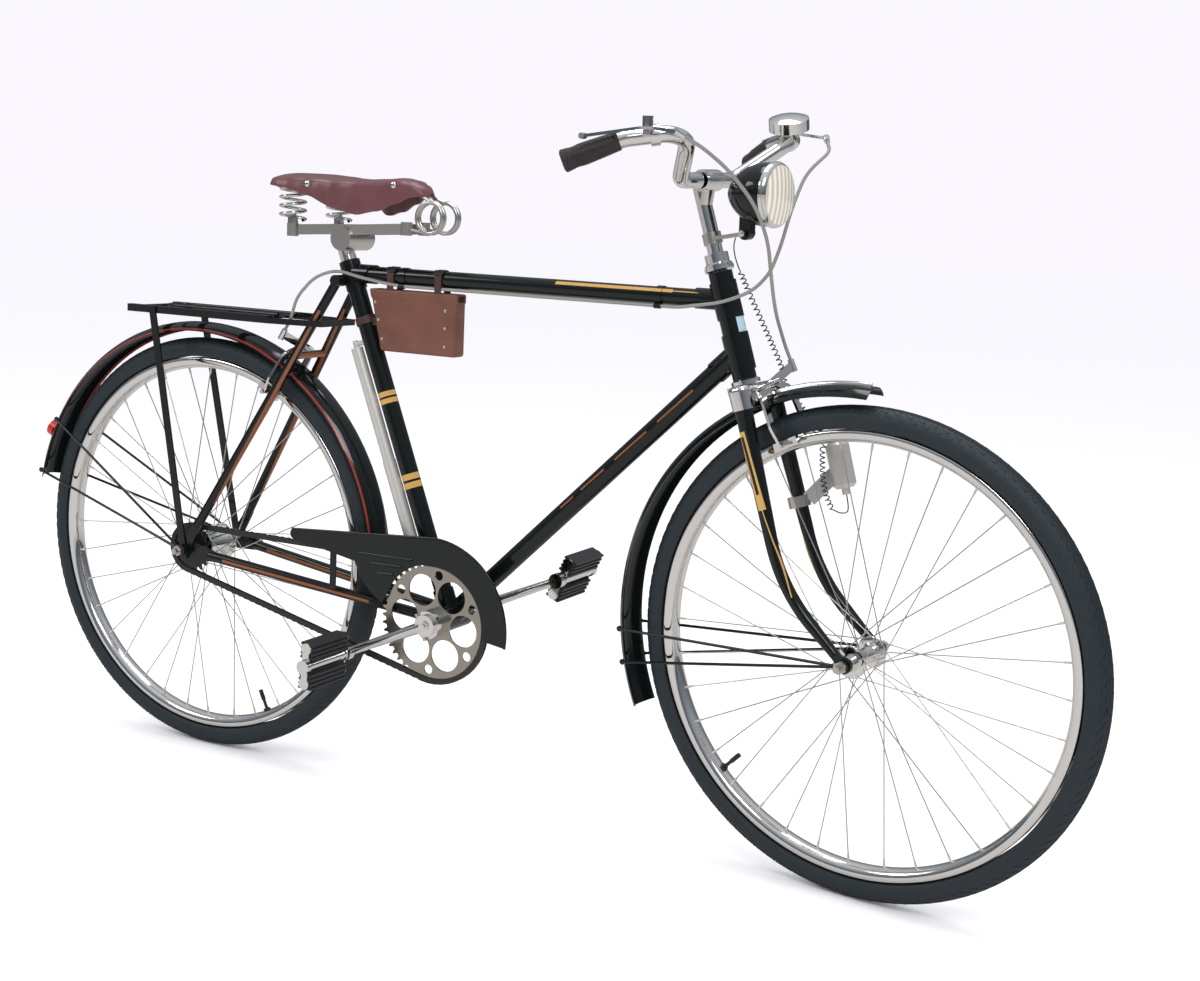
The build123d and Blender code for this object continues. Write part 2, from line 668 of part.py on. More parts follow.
def rear_stays(frame):
    bolt = stay_bolt()
    slot = Pos(-DROPOUT_BACK, 0, TYRE_RADIUS) * Box(2 * DROPOUT_BACK, ACROSS, 2 * AXLE_R)
    chain_stays, seat_stays = [], []
    for side in SIDES:
        foot, end = chain_stay_line(side)
        run = (end - foot).normalized()
        stay = rod(foot + run * STAY_START, end - run * CHAIN_STAY_SHORT, CHAIN_STAY_R)
        outline = [REAR_AXLE + Vector(x, 0, z) for x, z in DROPOUT_OUTLINE]
        ends = prism(outline, side * (DROPOUT_Y - DROPOUT_WALL / 2), side * DROPOUT_FACE)
        chain_stays.append(ends - across(REAR_AXLE, AXLE_R) - slot + stay)
        low = at_side(REAR_AXLE, side * SEAT_STAY_FOOT_Y)
        top = at_side(bolt, side * SEAT_STAY_TOP_Y)
        climb = (top - low).normalized()
        flat = at_side(climb, 0).normalized()
        aside = flat.cross(LEFT)
        corners = ((-STAY_TAB_HALF, -STAY_TAB_HALF), (STAY_TAB_HALF, -STAY_TAB_HALF),
                   (STAY_TAB_TOP_HALF, STAY_TAB_LENGTH), (-STAY_TAB_TOP_HALF, STAY_TAB_LENGTH))
        tab = prism([REAR_AXLE + aside * a + flat * b for a, b in corners],
                    side * DROPOUT_FACE, side * (DROPOUT_FACE + STAY_TAB)) - across(REAR_AXLE, AXLE_R)
        cap = cross_rod(bolt, STAY_BOLT_R, side * LUG_EAR_HALF, side * (SEAT_STAY_TOP_Y + STAY_CAP))
        seat_stays.append(rod(low + climb * STAY_START, top, SEAT_STAY_R) + tab + cap)
    low_bridge, bridge = (cross_rod(at, BRIDGE_R, -at.Y, at.Y) for at in (chain_bridge(), seat_bridge()))
    lower = joined(chain_stays + [low_bridge])
    return {
        "chain_stays": lower - across(BRACKET, BRACKET_R),
        "seat_stays": cut_by(joined(seat_stays + [bridge]), [lower, frame["seat_lug"]]),
    }


# Wheels

def wheel(axle, flange_y, flange_r, barrel_r, half, driver_r, valve_at):
    bead, rim_half, tread = BEAD_WIDTH / 2, RIM_WIDTH / 2, TREAD_WIDTH / 2
    shoulder = (TYRE_RADIUS + RIM_RADIUS) / 2
    tyre = lathe(Polyline((-bead, RIM_RADIUS), (-TYRE_WIDTH / 2, shoulder), (-tread, TYRE_RADIUS),
                          (tread, TYRE_RADIUS), (TYRE_WIDTH / 2, shoulder), (bead, RIM_RADIUS), close=True),
                 axle, LEFT)
    inner = RIM_RADIUS - RIM_WALL
    crown = inner - RIM_CROWN
    rim = lathe([Polyline((rim_half, inner), (rim_half, RIM_RADIUS), (-rim_half, RIM_RADIUS),
                          (-rim_half, inner)),
                 ThreePointArc((-rim_half, inner), (0, crown), (rim_half, inner))], axle, LEFT)
    bore = AXLE_R + RUNNING_FIT
    collar = bore + HUB_COLLAR
    left, right = flange_y - FLANGE_HALF, flange_y + FLANGE_HALF
    hub = lathe(Polyline((-half, bore), (-half, driver_r), (-right, driver_r), (-right, flange_r),
                         (-left, flange_r), (-left, barrel_r), (left, barrel_r), (left, flange_r),
                         (right, flange_r),
                         (right, collar + HUB_CONE), (half, collar), (half, bore), close=True), axle, LEFT)
    spokes = []
    for index in range(SPOKES):
        side = 1 if index % 2 == 0 else -1
        lead = 1 if index % 4 < 2 else -1
        at_rim = 360 / SPOKES * index
        start = polar(axle, flange_r - SPOKE_SEAT, at_rim + lead * SPOKE_CROSS, side * flange_y)
        end = polar(axle, inner, at_rim, side * SPOKE_RIM_Y)
        section = Plane(origin=start, z_dir=end - start) * Rectangle(SPOKE_SIZE, SPOKE_SIZE)
        spokes.append(extrude(section, amount=(end - start).length))
    valve = rod(polar(axle, crown - VALVE_LENGTH, -valve_at), polar(axle, inner, -valve_at), VALVE_R)
    return tyre, rim + valve, (hub + spokes) - rim


def axle_with_nuts(axle, inner_y):
    end_y = inner_y + NUT_WIDTH + AXLE_STUB
    pieces = [cross_rod(axle, AXLE_R, -end_y, end_y)]
    for side in SIDES:
        face = Plane(origin=at_side(axle, side * inner_y), z_dir=LEFT * side) * RegularPolygon(NUT_R, 6)
        pieces.append(extrude(face, amount=NUT_WIDTH))
    return joined(pieces)


# Chain drive

def pitch_radius(teeth):
    return CHAIN_PITCH / 2 / math.sin(math.pi / teeth)


# Tooth outline: share of a tooth's step, height from the pitch circle
TOOTH_OUTLINE = ((-0.30, -ROLLER_R), (-0.10, TOOTH_TIP), (0.10, TOOTH_TIP), (0.30, -ROLLER_R))


def toothed_disc(centre, teeth):
    pitch, step = pitch_radius(teeth), 360 / teeth
    outline = [polar(centre, pitch + height, (tooth + share) * step)
               for tooth in range(teeth) for share, height in TOOTH_OUTLINE]
    return prism(outline, CHAIN_Y - TOOTH_WALL / 2, CHAIN_Y + TOOTH_WALL / 2)


def chain_line():
    """Pitch line round both wheels: a function of the distance along it, its length and its straight run."""
    large, small = pitch_radius(RING_TEETH), pitch_radius(SPROCKET_TEETH)
    span = BRACKET - REAR_AXLE
    slope = math.atan2(span.Z, span.X)
    lean = math.asin((large - small) / span.length)
    run = math.sqrt(span.length ** 2 - (large - small) ** 2)
    front_arc, rear_arc = large * (math.pi + 2 * lean), small * (math.pi - 2 * lean)
    top, bottom = slope + math.pi / 2 + lean, slope - math.pi / 2 - lean

    def place(distance):
        """Point of the pitch line, its outward direction and the way gone on a straight run, if on one."""
        travel = None
        if distance < front_arc:
            centre, radius, angle = BRACKET, large, bottom + distance / large
        elif distance < front_arc + run:
            centre, radius, angle, travel = BRACKET, large, top, distance - front_arc
        elif distance < front_arc + run + rear_arc:
            centre, radius, angle = REAR_AXLE, small, top + (distance - front_arc - run) / small
        else:
            centre, radius, angle, travel = REAR_AXLE, small, bottom, distance - front_arc - run - rear_arc
        outward = Vector(math.cos(angle), 0, math.sin(angle))
        along = outward.cross(LEFT)
        return centre + outward * radius + along * (travel or 0.0), outward, travel

    return place, front_arc + rear_arc + 2 * run, run


def chain():
    """Two strands of waisted plates with a roller at each pin of the straight runs."""
    place, length, run = chain_line()
    links = 2 * round(length / CHAIN_PITCH / 2)
    pitch = length / links
    clear = CHAIN_MESH_LINKS * CHAIN_PITCH
    outer, inner, rollers = [], [], []
    for half_step in range(2 * links):
        point, outward, travel = place(half_step * pitch / 2)
        on_pin = half_step % 2 == 0
        if on_pin or travel is not None:
            outer.append(point + outward * (CHAIN_PIN_R if on_pin else CHAIN_WAIST_R))
        if on_pin and (travel is None or not pitch < travel < run - pitch):
            inner.append(point - outward * CHAIN_PIN_R)
        if on_pin and travel is not None and clear < travel < run - clear:
            along = outward.cross(LEFT)
            rollers.append([point + (along * a + outward * b) * ROLLER_R
                            for a, b in ((1, 0), (0, 1), (-1, 0), (0, -1))])
    gap = CHAIN_GAP / 2
    plates = []
    for side in SIDES:
        faces = CHAIN_Y + side * gap, CHAIN_Y + side * (gap + CHAIN_PLATE)
        plates.append(prism(outer, *faces) - prism(inner, *faces))
    pins = [prism(corners, CHAIN_Y - gap, CHAIN_Y + gap) for corners in rollers]
    return plates[0] + pins + plates[1]


def chainring():
    ring = toothed_disc(BRACKET, RING_TEETH)
    for index in range(RING_ARMS):
        arm = CRANK_ANGLE + 360 / RING_ARMS * index
        ring = ring - across(polar(BRACKET, RING_HOLE_CENTRE_R, arm + 180 / RING_ARMS), RING_HOLE_R)
        ring = ring - across(polar(BRACKET, RING_EYE_CENTRE_R, arm), RING_EYE_R)
    return ring


def crank_arms():
    inner, outer = CRANK_Y - CRANK_WIDTH / 2, CRANK_Y + CRANK_WIDTH / 2
    arms = [cross_rod(BRACKET, SPINDLE_R, -outer - SPINDLE_END, outer + SPINDLE_END),
            cross_rod(BRACKET, RING_BOSS_R, CHAIN_Y - TOOTH_WALL / 2, -CRANK_Y)]
    for side in SIDES:
        hub = at_side(BRACKET, side * CRANK_Y)
        eye = polar(BRACKET, side * CRANK_LENGTH, CRANK_ANGLE, side * CRANK_Y)
        along = (eye - hub).normalized()
        cotter = hub + along * COTTER_OFFSET
        lift = along.cross(LEFT)
        arms.append(cross_rod(hub, CRANK_BOSS_R, side * inner, side * outer))
        arms.append(rod(hub, eye, CRANK_ROOT_R, CRANK_NECK_R))
        arms.append(cross_rod(eye, CRANK_EYE_R, side * inner, side * outer))
        arms.append(cross_rod(eye, PEDAL_SPINDLE_R, side * outer, side * (outer + PEDAL_LENGTH)))
        arms.append(rod(cotter - lift * COTTER_HALF, cotter + lift * COTTER_HALF, COTTER_R))
    return joined(arms)


def pedal(side, tilt):
    eye = polar(BRACKET, side * CRANK_LENGTH, CRANK_ANGLE)
    start = CRANK_Y + CRANK_WIDTH / 2 + PEDAL_GAP
    end = start + PEDAL_LENGTH
    cap = end - PEDAL_CAP
    lobe_x = PEDAL_WIDTH / 2 - PEDAL_LOBE_R
    bar = [eye + Vector(x, 0, z) for x, z in ((-lobe_x, -PEDAL_BAR_HALF), (lobe_x, -PEDAL_BAR_HALF),
                                              (lobe_x, PEDAL_BAR_HALF), (-lobe_x, PEDAL_BAR_HALF))]
    cage = [cross_rod(eye, PEDAL_TUBE_R, side * start, side * cap)]
    for near in (start, cap - PEDAL_PLATE):
        faces = side * near, side * (near + PEDAL_PLATE)
        cage.append(prism(bar, *faces))
        for x, radius in ((-lobe_x, PEDAL_LOBE_R), (0, PEDAL_CAP_R), (lobe_x, PEDAL_LOBE_R)):
            cage.append(cross_rod(eye + FORWARD * x, radius, *faces))
    cage = joined(cage) - across(eye, PEDAL_SPINDLE_R + RUNNING_FIT)
    cage = cage + cross_rod(eye, PEDAL_CAP_R, side * cap, side * end)
    spindle_end = side * (CRANK_Y + CRANK_WIDTH / 2 + PEDAL_LENGTH + FREE_GAP)
    cage = cage - cross_rod(eye, PEDAL_SPINDLE_R + RUNNING_FIT, side * cap, spindle_end)
    block = ribbed_block(eye, side * (start + PEDAL_PLATE), side * (cap - PEDAL_PLATE))
    turn = Axis(eye, LEFT)
    return cage.rotate(turn, tilt), block.rotate(turn, tilt)


def ribbed_block(eye, y_from, y_to):
    """The two rubber blocks of a pedal, their treads grooved along the pedal."""
    half, tall = PEDAL_BLOCK_WIDTH / 2, PEDAL_BLOCK_HEIGHT / 2
    step = PEDAL_BLOCK_WIDTH / (2 * PEDAL_RIBS - 1)
    tread = []
    for rib in range(PEDAL_RIBS):
        left = -half + 2 * rib * step
        valley = tall - PEDAL_RIB_DEPTH
        tread += [(left, valley), (left, tall), (left + step, tall), (left + step, valley)]
    outline = tread[1:-1]
    outline = outline + [(-x, -z) for x, z in outline]
    blocks = []
    for end in SIDES:
        centre = eye + FORWARD * end * (PEDAL_WIDTH - PEDAL_BLOCK_WIDTH) / 2
        blocks.append(prism([centre + Vector(x, 0, z) for x, z in outline], y_from, y_to))
    return Compound(blocks)


def rear_sprocket():
    return toothed_disc(REAR_AXLE, SPROCKET_TEETH) - across(REAR_AXLE, REAR_HUB["driver_r"] + FREE_GAP)


def chain_guard(frame):
    """Plate over the upper chain run and round the chain ring, with a rolled edge, ribs and two carriers."""
    ring = pitch_radius(RING_TEETH)
    outside, inside = ring + GUARD_COVER, ring - GUARD_INSET
    rear_top = BRACKET + Vector(-GUARD_LENGTH, 0, GUARD_RISE)
    rear_low = rear_top + Vector(GUARD_REAR_HEIGHT / 2, 0, -GUARD_REAR_HEIGHT)
    rear_mid = rear_top + Vector(-GUARD_REAR_HEIGHT / 4, 0, -GUARD_REAR_HEIGHT / 2)
    back = rear_top - BRACKET
    touch = math.degrees(math.atan2(back.Z, back.X) - math.acos(outside / back.length))
    tooth = BRACKET + Vector(-GUARD_TOOTH_BACK, 0, GUARD_TOOTH_RISE)
    knee = BRACKET + Vector(-GUARD_KNEE_BACK, 0, GUARD_KNEE_RISE)
    sag = (tooth + knee) * 0.5 + (knee - tooth).normalized().cross(LEFT) * GUARD_KNEE_SAG
    corners = dict(rear_top=rear_top, touch=polar(BRACKET, outside, touch),
                   low=polar(BRACKET, outside, GUARD_END_ANGLE), lip=polar(BRACKET, inside, GUARD_END_ANGLE),
                   hook=polar(BRACKET, inside, GUARD_TOOTH_ANGLE),
                   tooth=tooth, sag=sag, knee=knee, rear_low=rear_low, rear_mid=rear_mid)
    at = {name: (point.X, point.Z) for name, point in corners.items()}
    centre = (BRACKET.X, BRACKET.Z)
    edges = [Line(at["rear_top"], at["touch"]),
             CenterArc(centre, outside, touch, GUARD_END_ANGLE - touch),
             Line(at["low"], at["lip"]),
             CenterArc(centre, inside, GUARD_END_ANGLE, GUARD_TOOTH_ANGLE - GUARD_END_ANGLE),
             Line(at["hook"], at["tooth"]),
             ThreePointArc(at["tooth"], at["sag"], at["knee"]),
             Line(at["knee"], at["rear_low"]),
             ThreePointArc(at["rear_low"], at["rear_mid"], at["rear_top"])]
    face_y = GUARD_Y - GUARD_WALL
    guard = plate(edges, GUARD_Y, face_y)
    bead_start = at_side(corners["touch"], face_y)
    bead_line = at_side(rear_top, face_y)
    guard = guard + rod(bead_line, bead_start, GUARD_BEAD_R)
    section = Plane(origin=bead_start, z_dir=bead_start - bead_line) * Circle(GUARD_BEAD_R)
    guard = guard + revolve(section, Axis(at_side(BRACKET, face_y), LEFT), touch - GUARD_END_ANGLE)
    for rear_x, rear_z, front_x, front_z in GUARD_RIBS:
        rib = at_side(BRACKET, face_y)
        guard = guard + rod(rib + Vector(rear_x, 0, rear_z), rib + Vector(front_x, 0, front_z), GUARD_BEAD_R)
    on_stay = on_chain_stay((BRACKET - REAR_AXLE).length - GUARD_ARM_BACK, -1)
    foot = at_side(on_stay, GUARD_Y - GUARD_WALL / 2) + UP * CHAIN_STAY_R
    slope = (knee.Z - rear_low.Z) / (knee.X - rear_low.X)
    lap = Vector(foot.X, foot.Y, knee.Z + slope * (foot.X - knee.X) + GUARD_ARM_LAP)
    arm = strap((lap, foot, on_stay), [CHAIN_STAY_R / 2], GUARD_ARM_WIDTH, GUARD_WALL, LEFT)
    on_tube = on_seat(BRACKET_Z + ring + GUARD_ARM_RISE)
    carrier = cross_rod(on_tube, GUARD_ARM_R, GUARD_Y, 0)
    return cut_by(joined([guard, arm, carrier]), (frame["seat_tube"], frame["chain_stays"]))


# Mudguards and rack

def mudguard(centre, start, end):
    """Arched sheet swept about a line across the bicycle, angles from straight ahead over the top."""
    half, wall = MUDGUARD_WIDTH / 2, MUDGUARD_WALL
    edge = GUARD_RADIUS - MUDGUARD_DEPTH
    first = polar(Vector(0, 0, 0), 1, start)
    plane = Plane(origin=centre, x_dir=LEFT, z_dir=LEFT.cross(first))
    face = make_face([ThreePointArc((-half, edge), (0, GUARD_RADIUS), (half, edge)),
                      Line((half, edge), (half - wall, edge)),
                      ThreePointArc((half - wall, edge), (0, GUARD_RADIUS - wall), (-half + wall, edge)),
                      Line((-half + wall, edge), (-half, edge))])
    return revolve(plane * face, Axis(centre, LEFT * -1), end - start)


def guard_stays(guard, angles, axle, eye_y):
    """Wires from the edge of a mudguard to an eye on the axle, the same on both sides."""
    sides = []
    edge = GUARD_RADIUS - MUDGUARD_DEPTH + GUARD_STAY_INSET
    wire_y = MUDGUARD_WIDTH / 2 + GUARD_STAY_R + GUARD_STAY_GAP
    for side in SIDES:
        eye = at_side(axle, side * (eye_y + WIRE_EYE - GUARD_STAY_R - GUARD_STAY_GAP))
        pieces = [cross_rod(axle, WIRE_EYE_R, side * eye_y, side * (eye_y + WIRE_EYE))]
        for angle in angles:
            top = polar(guard["centre"], edge, angle, side * wire_y)
            pieces.append(rod(top, eye, GUARD_STAY_R))
            pieces.append(cross_rod(top, 2 * GUARD_STAY_R, side * MUDGUARD_WIDTH / 2, side * wire_y))
        sides.append(joined(pieces) - across(axle, AXLE_R))
    return sides


def rear_guard_clips(frame, guard):
    """Flat clips that carry the rear mudguard on the bridges of the stays."""
    clips = []
    for bridge in (at_side(seat_bridge(), 0), at_side(chain_bridge(), 0)):
        inward = (REAR_GUARD["centre"] - bridge).normalized()
        reach = (REAR_GUARD["centre"] - bridge).length - GUARD_RADIUS + MUDGUARD_WALL
        line = (bridge, bridge + inward * reach)
        clip = strap(line, [], GUARD_CLIP_WIDTH, GUARD_CLIP_WALL, inward.cross(LEFT))
        clips.append(cut_by(clip, (frame["seat_stays"], frame["chain_stays"], guard)))
    return clips


def rack(frame, guard):
    half, top = RACK_HALF_WIDTH, RACK_Z
    bolt = stay_bolt()
    front_x = bolt.X * (top - TYRE_RADIUS) / (bolt.Z - TYRE_RADIUS) + RACK_STAY_GAP
    taper_x = front_x - RACK_TAPER
    under = top - RACK_SHEET
    straight = ((RACK_REAR_X, half), (taper_x, half))
    tapered = straight + ((front_x, RACK_FRONT_HALF),)
    pieces = []
    for side in SIDES:
        for line, width, level, height in ((straight, RACK_RAIL_FLANGE, top, RACK_SHEET),
                                           (tapered, RACK_SHEET, under, RACK_RAIL_HEIGHT - RACK_SHEET)):
            outline = list(line) + [(x, y - width) for x, y in reversed(line)]
            rail = make_face(Polyline(*[(x, side * y) for x, y in outline], close=True))
            pieces.append(extrude(Plane.XY.offset(level) * rail, amount=height, dir=(0, 0, -1)))
    spacing = (taper_x - RACK_REAR_X) / (RACK_SLATS - 1)
    inner = 2 * (half - RACK_SHEET)
    for index in range(RACK_SLATS):
        x = RACK_REAR_X + RACK_SLAT_WIDTH / 2 + index * (spacing - RACK_SLAT_WIDTH / (RACK_SLATS - 1))
        pieces.append(Pos(x, 0, under - RACK_SHEET / 2) * Box(RACK_SLAT_WIDTH, inner, RACK_SHEET))
    wall = RACK_RAIL_HEIGHT - RACK_SHEET
    for x, reach in ((RACK_REAR_X + RACK_SHEET / 2, half), (front_x - RACK_SHEET / 2, RACK_FRONT_HALF)):
        pieces.append(Pos(x, 0, under - wall / 2) * Box(RACK_SHEET, 2 * reach, wall))
    wire_z = under + RACK_CLIP_R - RACK_CLIP_SINK
    clip_front, clip_rear = taper_x - RACK_SLAT_WIDTH / 2, RACK_REAR_X + spacing / 2
    bail = [Vector(clip_front, RACK_CLIP_HALF, wire_z), Vector(clip_rear, RACK_CLIP_HALF, wire_z),
            Vector(clip_rear, -RACK_CLIP_HALF, wire_z), Vector(clip_front, -RACK_CLIP_HALF, wire_z)]
    pieces.append(bent(bail, (RACK_CLIP_BEND, RACK_CLIP_BEND), RACK_CLIP_R))
    legs = []
    face = DROPOUT_FACE + STAY_TAB
    for side in SIDES:
        foot = at_side(REAR_AXLE, side * (face + RACK_TAB / 2))
        head = Vector(RACK_LEG_X, side * (half + RACK_TAB / 2), top - RACK_SHEET)
        leg = strap((foot, head), [], RACK_TAB, RACK_LEG_WIDTH, FORWARD)
        leg = leg + cross_rod(REAR_AXLE, RACK_LEG_EYE_R, side * face, side * (face + RACK_TAB))
        legs.append(leg - across(REAR_AXLE, AXLE_R) - frame["seat_stays"])
    return joined(pieces) - frame["seat_stays"], legs


def reflector():
    seat = polar(REAR_GUARD["centre"], GUARD_RADIUS - MUDGUARD_WALL / 2, REFLECTOR_ANGLE)
    outward = (seat - REAR_GUARD["centre"]).normalized()
    return rod(seat, seat + outward * REFLECTOR_HEIGHT, REFLECTOR_R)


# Saddle

def bar_z():
    return SADDLE_TOP_Z - BAR_DROP


def saddle_plan(inset):
    """Plan of the saddle: round back, waisted sides and round nose, all arcs."""
    rear, nose = SADDLE_REAR_X + inset, SADDLE_NOSE_X - inset
    hip, tip = rear + SADDLE_HIP, nose - SADDLE_NOSE_ROUND
    half, nose_half, waist = SADDLE_HALF_WIDTH - inset, SADDLE_NOSE_HALF - inset, SADDLE_WAIST_HALF - inset
    plan = make_face([ThreePointArc((hip, half), (rear, 0), (hip, -half)),
                      ThreePointArc((hip, -half), (SADDLE_WAIST_X, -waist), (tip, -nose_half)),
                      ThreePointArc((tip, -nose_half), (nose, 0), (tip, nose_half)),
                      ThreePointArc((tip, nose_half), (SADDLE_WAIST_X, waist), (hip, half))])
    return fillet(plan.vertices().sort_by(Axis.X)[:2], SADDLE_CORNER - inset)


# Side outline of the saddle top: place between rear and nose, height below the rider's point
SADDLE_PROFILE = ((0.0, 12), (0.06, 1), (0.17, 0), (0.45, 7), (0.80, 0), (0.94, 5), (1.0, 16))


def saddle_profile(drop, skirt):
    """Face in the side view under the saddle's top line, down to a skirt that hangs lowest at the waist."""
    length = SADDLE_NOSE_X - SADDLE_REAR_X
    line = [(SADDLE_REAR_X + share * length, SADDLE_TOP_Z - depth - drop) for share, depth in SADDLE_PROFILE]
    top = [ThreePointArc(*line[0:3]), ThreePointArc(*line[2:5]), ThreePointArc(*line[4:7])]
    low = SADDLE_TOP_Z - SADDLE_SEAT_DROP - SADDLE_PLATE
    rear, nose = line[0], line[-1]
    if skirt:
        under = [Line(nose, (nose[0], low)),
                 ThreePointArc((nose[0], low), (SADDLE_WAIST_X, SADDLE_TOP_Z - SADDLE_SKIRT_DROP),
                               (rear[0], low)),
                 Line((rear[0], low), rear)]
    else:
        floor = SADDLE_TOP_Z - 2 * SADDLE_SKIRT_DROP
        under = [Polyline(nose, (nose[0], floor), (rear[0], floor), rear)]
    return plate(top + under, -SADDLE_HALF_WIDTH, SADDLE_HALF_WIDTH)


def saddle_cover():
    deep = 2 * SADDLE_SKIRT_DROP
    above = Plane.XY.offset(SADDLE_TOP_Z - deep)
    outer = extrude(above * saddle_plan(0), amount=2 * deep) & saddle_profile(0, True)
    inner = extrude(above * saddle_plan(SADDLE_LEATHER), amount=2 * deep)
    inner = inner & saddle_profile(SADDLE_LEATHER, False)
    return outer - inner


def saddle_plates():
    """Steel plates under the leather, at the back for the coils and at the nose for the loops."""
    level = Plane.XY.offset(SADDLE_TOP_Z - SADDLE_SEAT_DROP)
    sheet = extrude(level * saddle_plan(SADDLE_LEATHER), amount=-SADDLE_PLATE)
    room = 2 * SADDLE_HALF_WIDTH
    cantle = sheet & (Pos(SADDLE_REAR_X + CANTLE_DEPTH - room / 2, 0, SADDLE_TOP_Z) * Box(room, room, room))
    nose = sheet & (Pos(SADDLE_NOSE_X - NOSE_PLATE_DEPTH + room / 2, 0, SADDLE_TOP_Z) * Box(room, room, room))
    return cantle, nose


def coil(foot, height, radius, turns, wire):
    """Spring as tilted half turns, each an exact ring segment tangent to the next."""
    pitch = height / turns
    pieces = []
    for half_turn in range(2 * turns):
        sign = 1 if half_turn % 2 == 0 else -1
        start = foot + Vector(sign * radius, 0, pitch / 2 * half_turn)
        end = foot + Vector(-sign * radius, 0, pitch / 2 * (half_turn + 1))
        chord = (end - start).normalized()
        axis = Axis((start + end) * 0.5, chord.cross(LEFT) * -sign)
        section = Plane(origin=start, x_dir=chord, z_dir=LEFT) * RegularPolygon(wire, 4)
        pieces.append(revolve(section, axis, 180))
    return joined(pieces)


def saddle_springs():
    foot = bar_z() + CUP_HALF + SPRING_WIRE
    height = SADDLE_TOP_Z - SADDLE_SEAT_DROP - SADDLE_PLATE - SPRING_WIRE - foot
    feet = [Vector(SPRING_X, side * SPRING_Y, foot) for side in SIDES]
    return Compound([coil(place, height, SPRING_R, SPRING_TURNS, SPRING_WIRE) for place in feet])


def saddle_frame():
    cantle, nose = saddle_plates()
    low = bar_z()
    clamp_x = on_seat(low).X + CLAMP_AHEAD
    front_z = low + BAR_RISE
    loop_z = front_z - CUP_HALF / 2 + LOOP_R
    plate_z = SADDLE_TOP_Z - SADDLE_SEAT_DROP - SADDLE_PLATE
    lower = []
    for side in SIDES:
        rear = Vector(SPRING_X, side * SPRING_Y, low)
        waist_rear = Vector(clamp_x - CLAMP_R, side * WAIST_BAR_Y, low + BAR_RISE / 3)
        waist_front = Vector(clamp_x + CLAMP_HALF, side * WAIST_BAR_Y, low + BAR_RISE / 2)
        front = Vector(FRONT_CUP_X, side * FRONT_CUP_Y, front_z)
        lower.append(strap((rear, waist_rear, waist_front, front), (CLAMP_R, CLAMP_R), BAR_THICK, BAR_HEIGHT))
        lower.append(rod(rear - UP * CUP_HALF, rear + UP * CUP_HALF, CUP_R))
        lower.append(rod(front - UP * CUP_HALF, front + UP * CUP_HALF, CUP_R))
        for index in range(LOOPS):
            centre = Vector(LOOP_X, side * (FRONT_CUP_Y - index * LOOP_PITCH), loop_z)
            lower.append(Solid.make_torus(LOOP_R, LOOP_WIRE, Plane(origin=centre, z_dir=LEFT)))
        tail_y = side * (FRONT_CUP_Y - (LOOPS - 1) * LOOP_PITCH)
        bottom = Vector(LOOP_X, side * FRONT_CUP_Y, loop_z - LOOP_R)
        top = Vector(LOOP_X, tail_y, loop_z + LOOP_R)
        lower.append(rod(front, bottom, LOOP_TAIL_R))
        lower.append(rod(top, Vector(FRONT_CUP_X, tail_y / 2, plate_z - LOOP_TAIL_R / 2), LOOP_TAIL_R))
        joint = Vector(LOOP_X, side * (FRONT_CUP_Y - LOOP_PITCH / 2), loop_z)
        lower.append(cross_rod(joint + UP * LOOP_R, LOOP_TAIL_R, side * FRONT_CUP_Y, tail_y))
    clamp = cross_rod(Vector(clamp_x, 0, low - CUP_HALF), CLAMP_R, -CLAMP_HALF, CLAMP_HALF)
    post = rod(on_seat(SEAT_TUBE_TOP_Z), on_seat(low), SEAT_POST_R)
    return joined(lower + [clamp, nose]) - post, cantle


# Steering pieces, built straight ahead

def oval(plane, length, width):
    return plane * SlotOverall(length, width)


def fork():
    bend = math.radians(BLADE_BEND)
    drop = BLADE_BEND_R * (1 - math.cos(bend))
    tail = (FORK_RAKE - BLADE_SET_FORWARD - drop) / math.sin(bend)
    top_along = (on_head(CROWN_TOP_Z) - STEER_FOOT).length - CROWN_WALL
    bend_along = BLADE_BEND_R * math.sin(bend) + tail * math.cos(bend)
    down = STEER_UP * -1
    out = down.rotate(Axis.Y, -BLADE_BEND)
    blades = []
    for side in SIDES:
        line = STEER_FOOT + STEER_AHEAD * BLADE_SET_FORWARD
        top = line + STEER_UP * top_along + LEFT * side * BLADE_Y_TOP
        knee = line + STEER_UP * bend_along + LEFT * side * BLADE_Y_AXLE
        foot_oval = 2 * BLADE_FOOT_R
        upper = loft([oval(Plane(origin=top, x_dir=STEER_AHEAD, z_dir=down), BLADE_DEPTH, BLADE_BREADTH),
                      oval(Plane(origin=knee, x_dir=STEER_AHEAD, z_dir=down), foot_oval + FREE_GAP,
                           foot_oval)], ruled=True)
        section = Plane(origin=knee, x_dir=STEER_AHEAD, z_dir=down) * Circle(BLADE_FOOT_R)
        arc = revolve(section, Axis(knee + STEER_AHEAD * BLADE_BEND_R, LEFT), -BLADE_BEND)
        tip = at_side(FRONT_AXLE, side * BLADE_Y_AXLE)
        foot = rod(tip - out * tail, tip - out * BLADE_TIP_GAP, BLADE_FOOT_R, BLADE_TIP_R)
        eye = cross_rod(tip, FORK_EYE_R, side * (FORK_FACE - FORK_END), side * FORK_FACE)
        tang = strap((tip, tip - out * FORK_TANG_LENGTH), [], FORK_TANG_WIDTH, FORK_END, LEFT)
        blades.append(joined([upper, arc, foot, eye, tang]) - across(FRONT_AXLE, AXLE_R))
    return blades


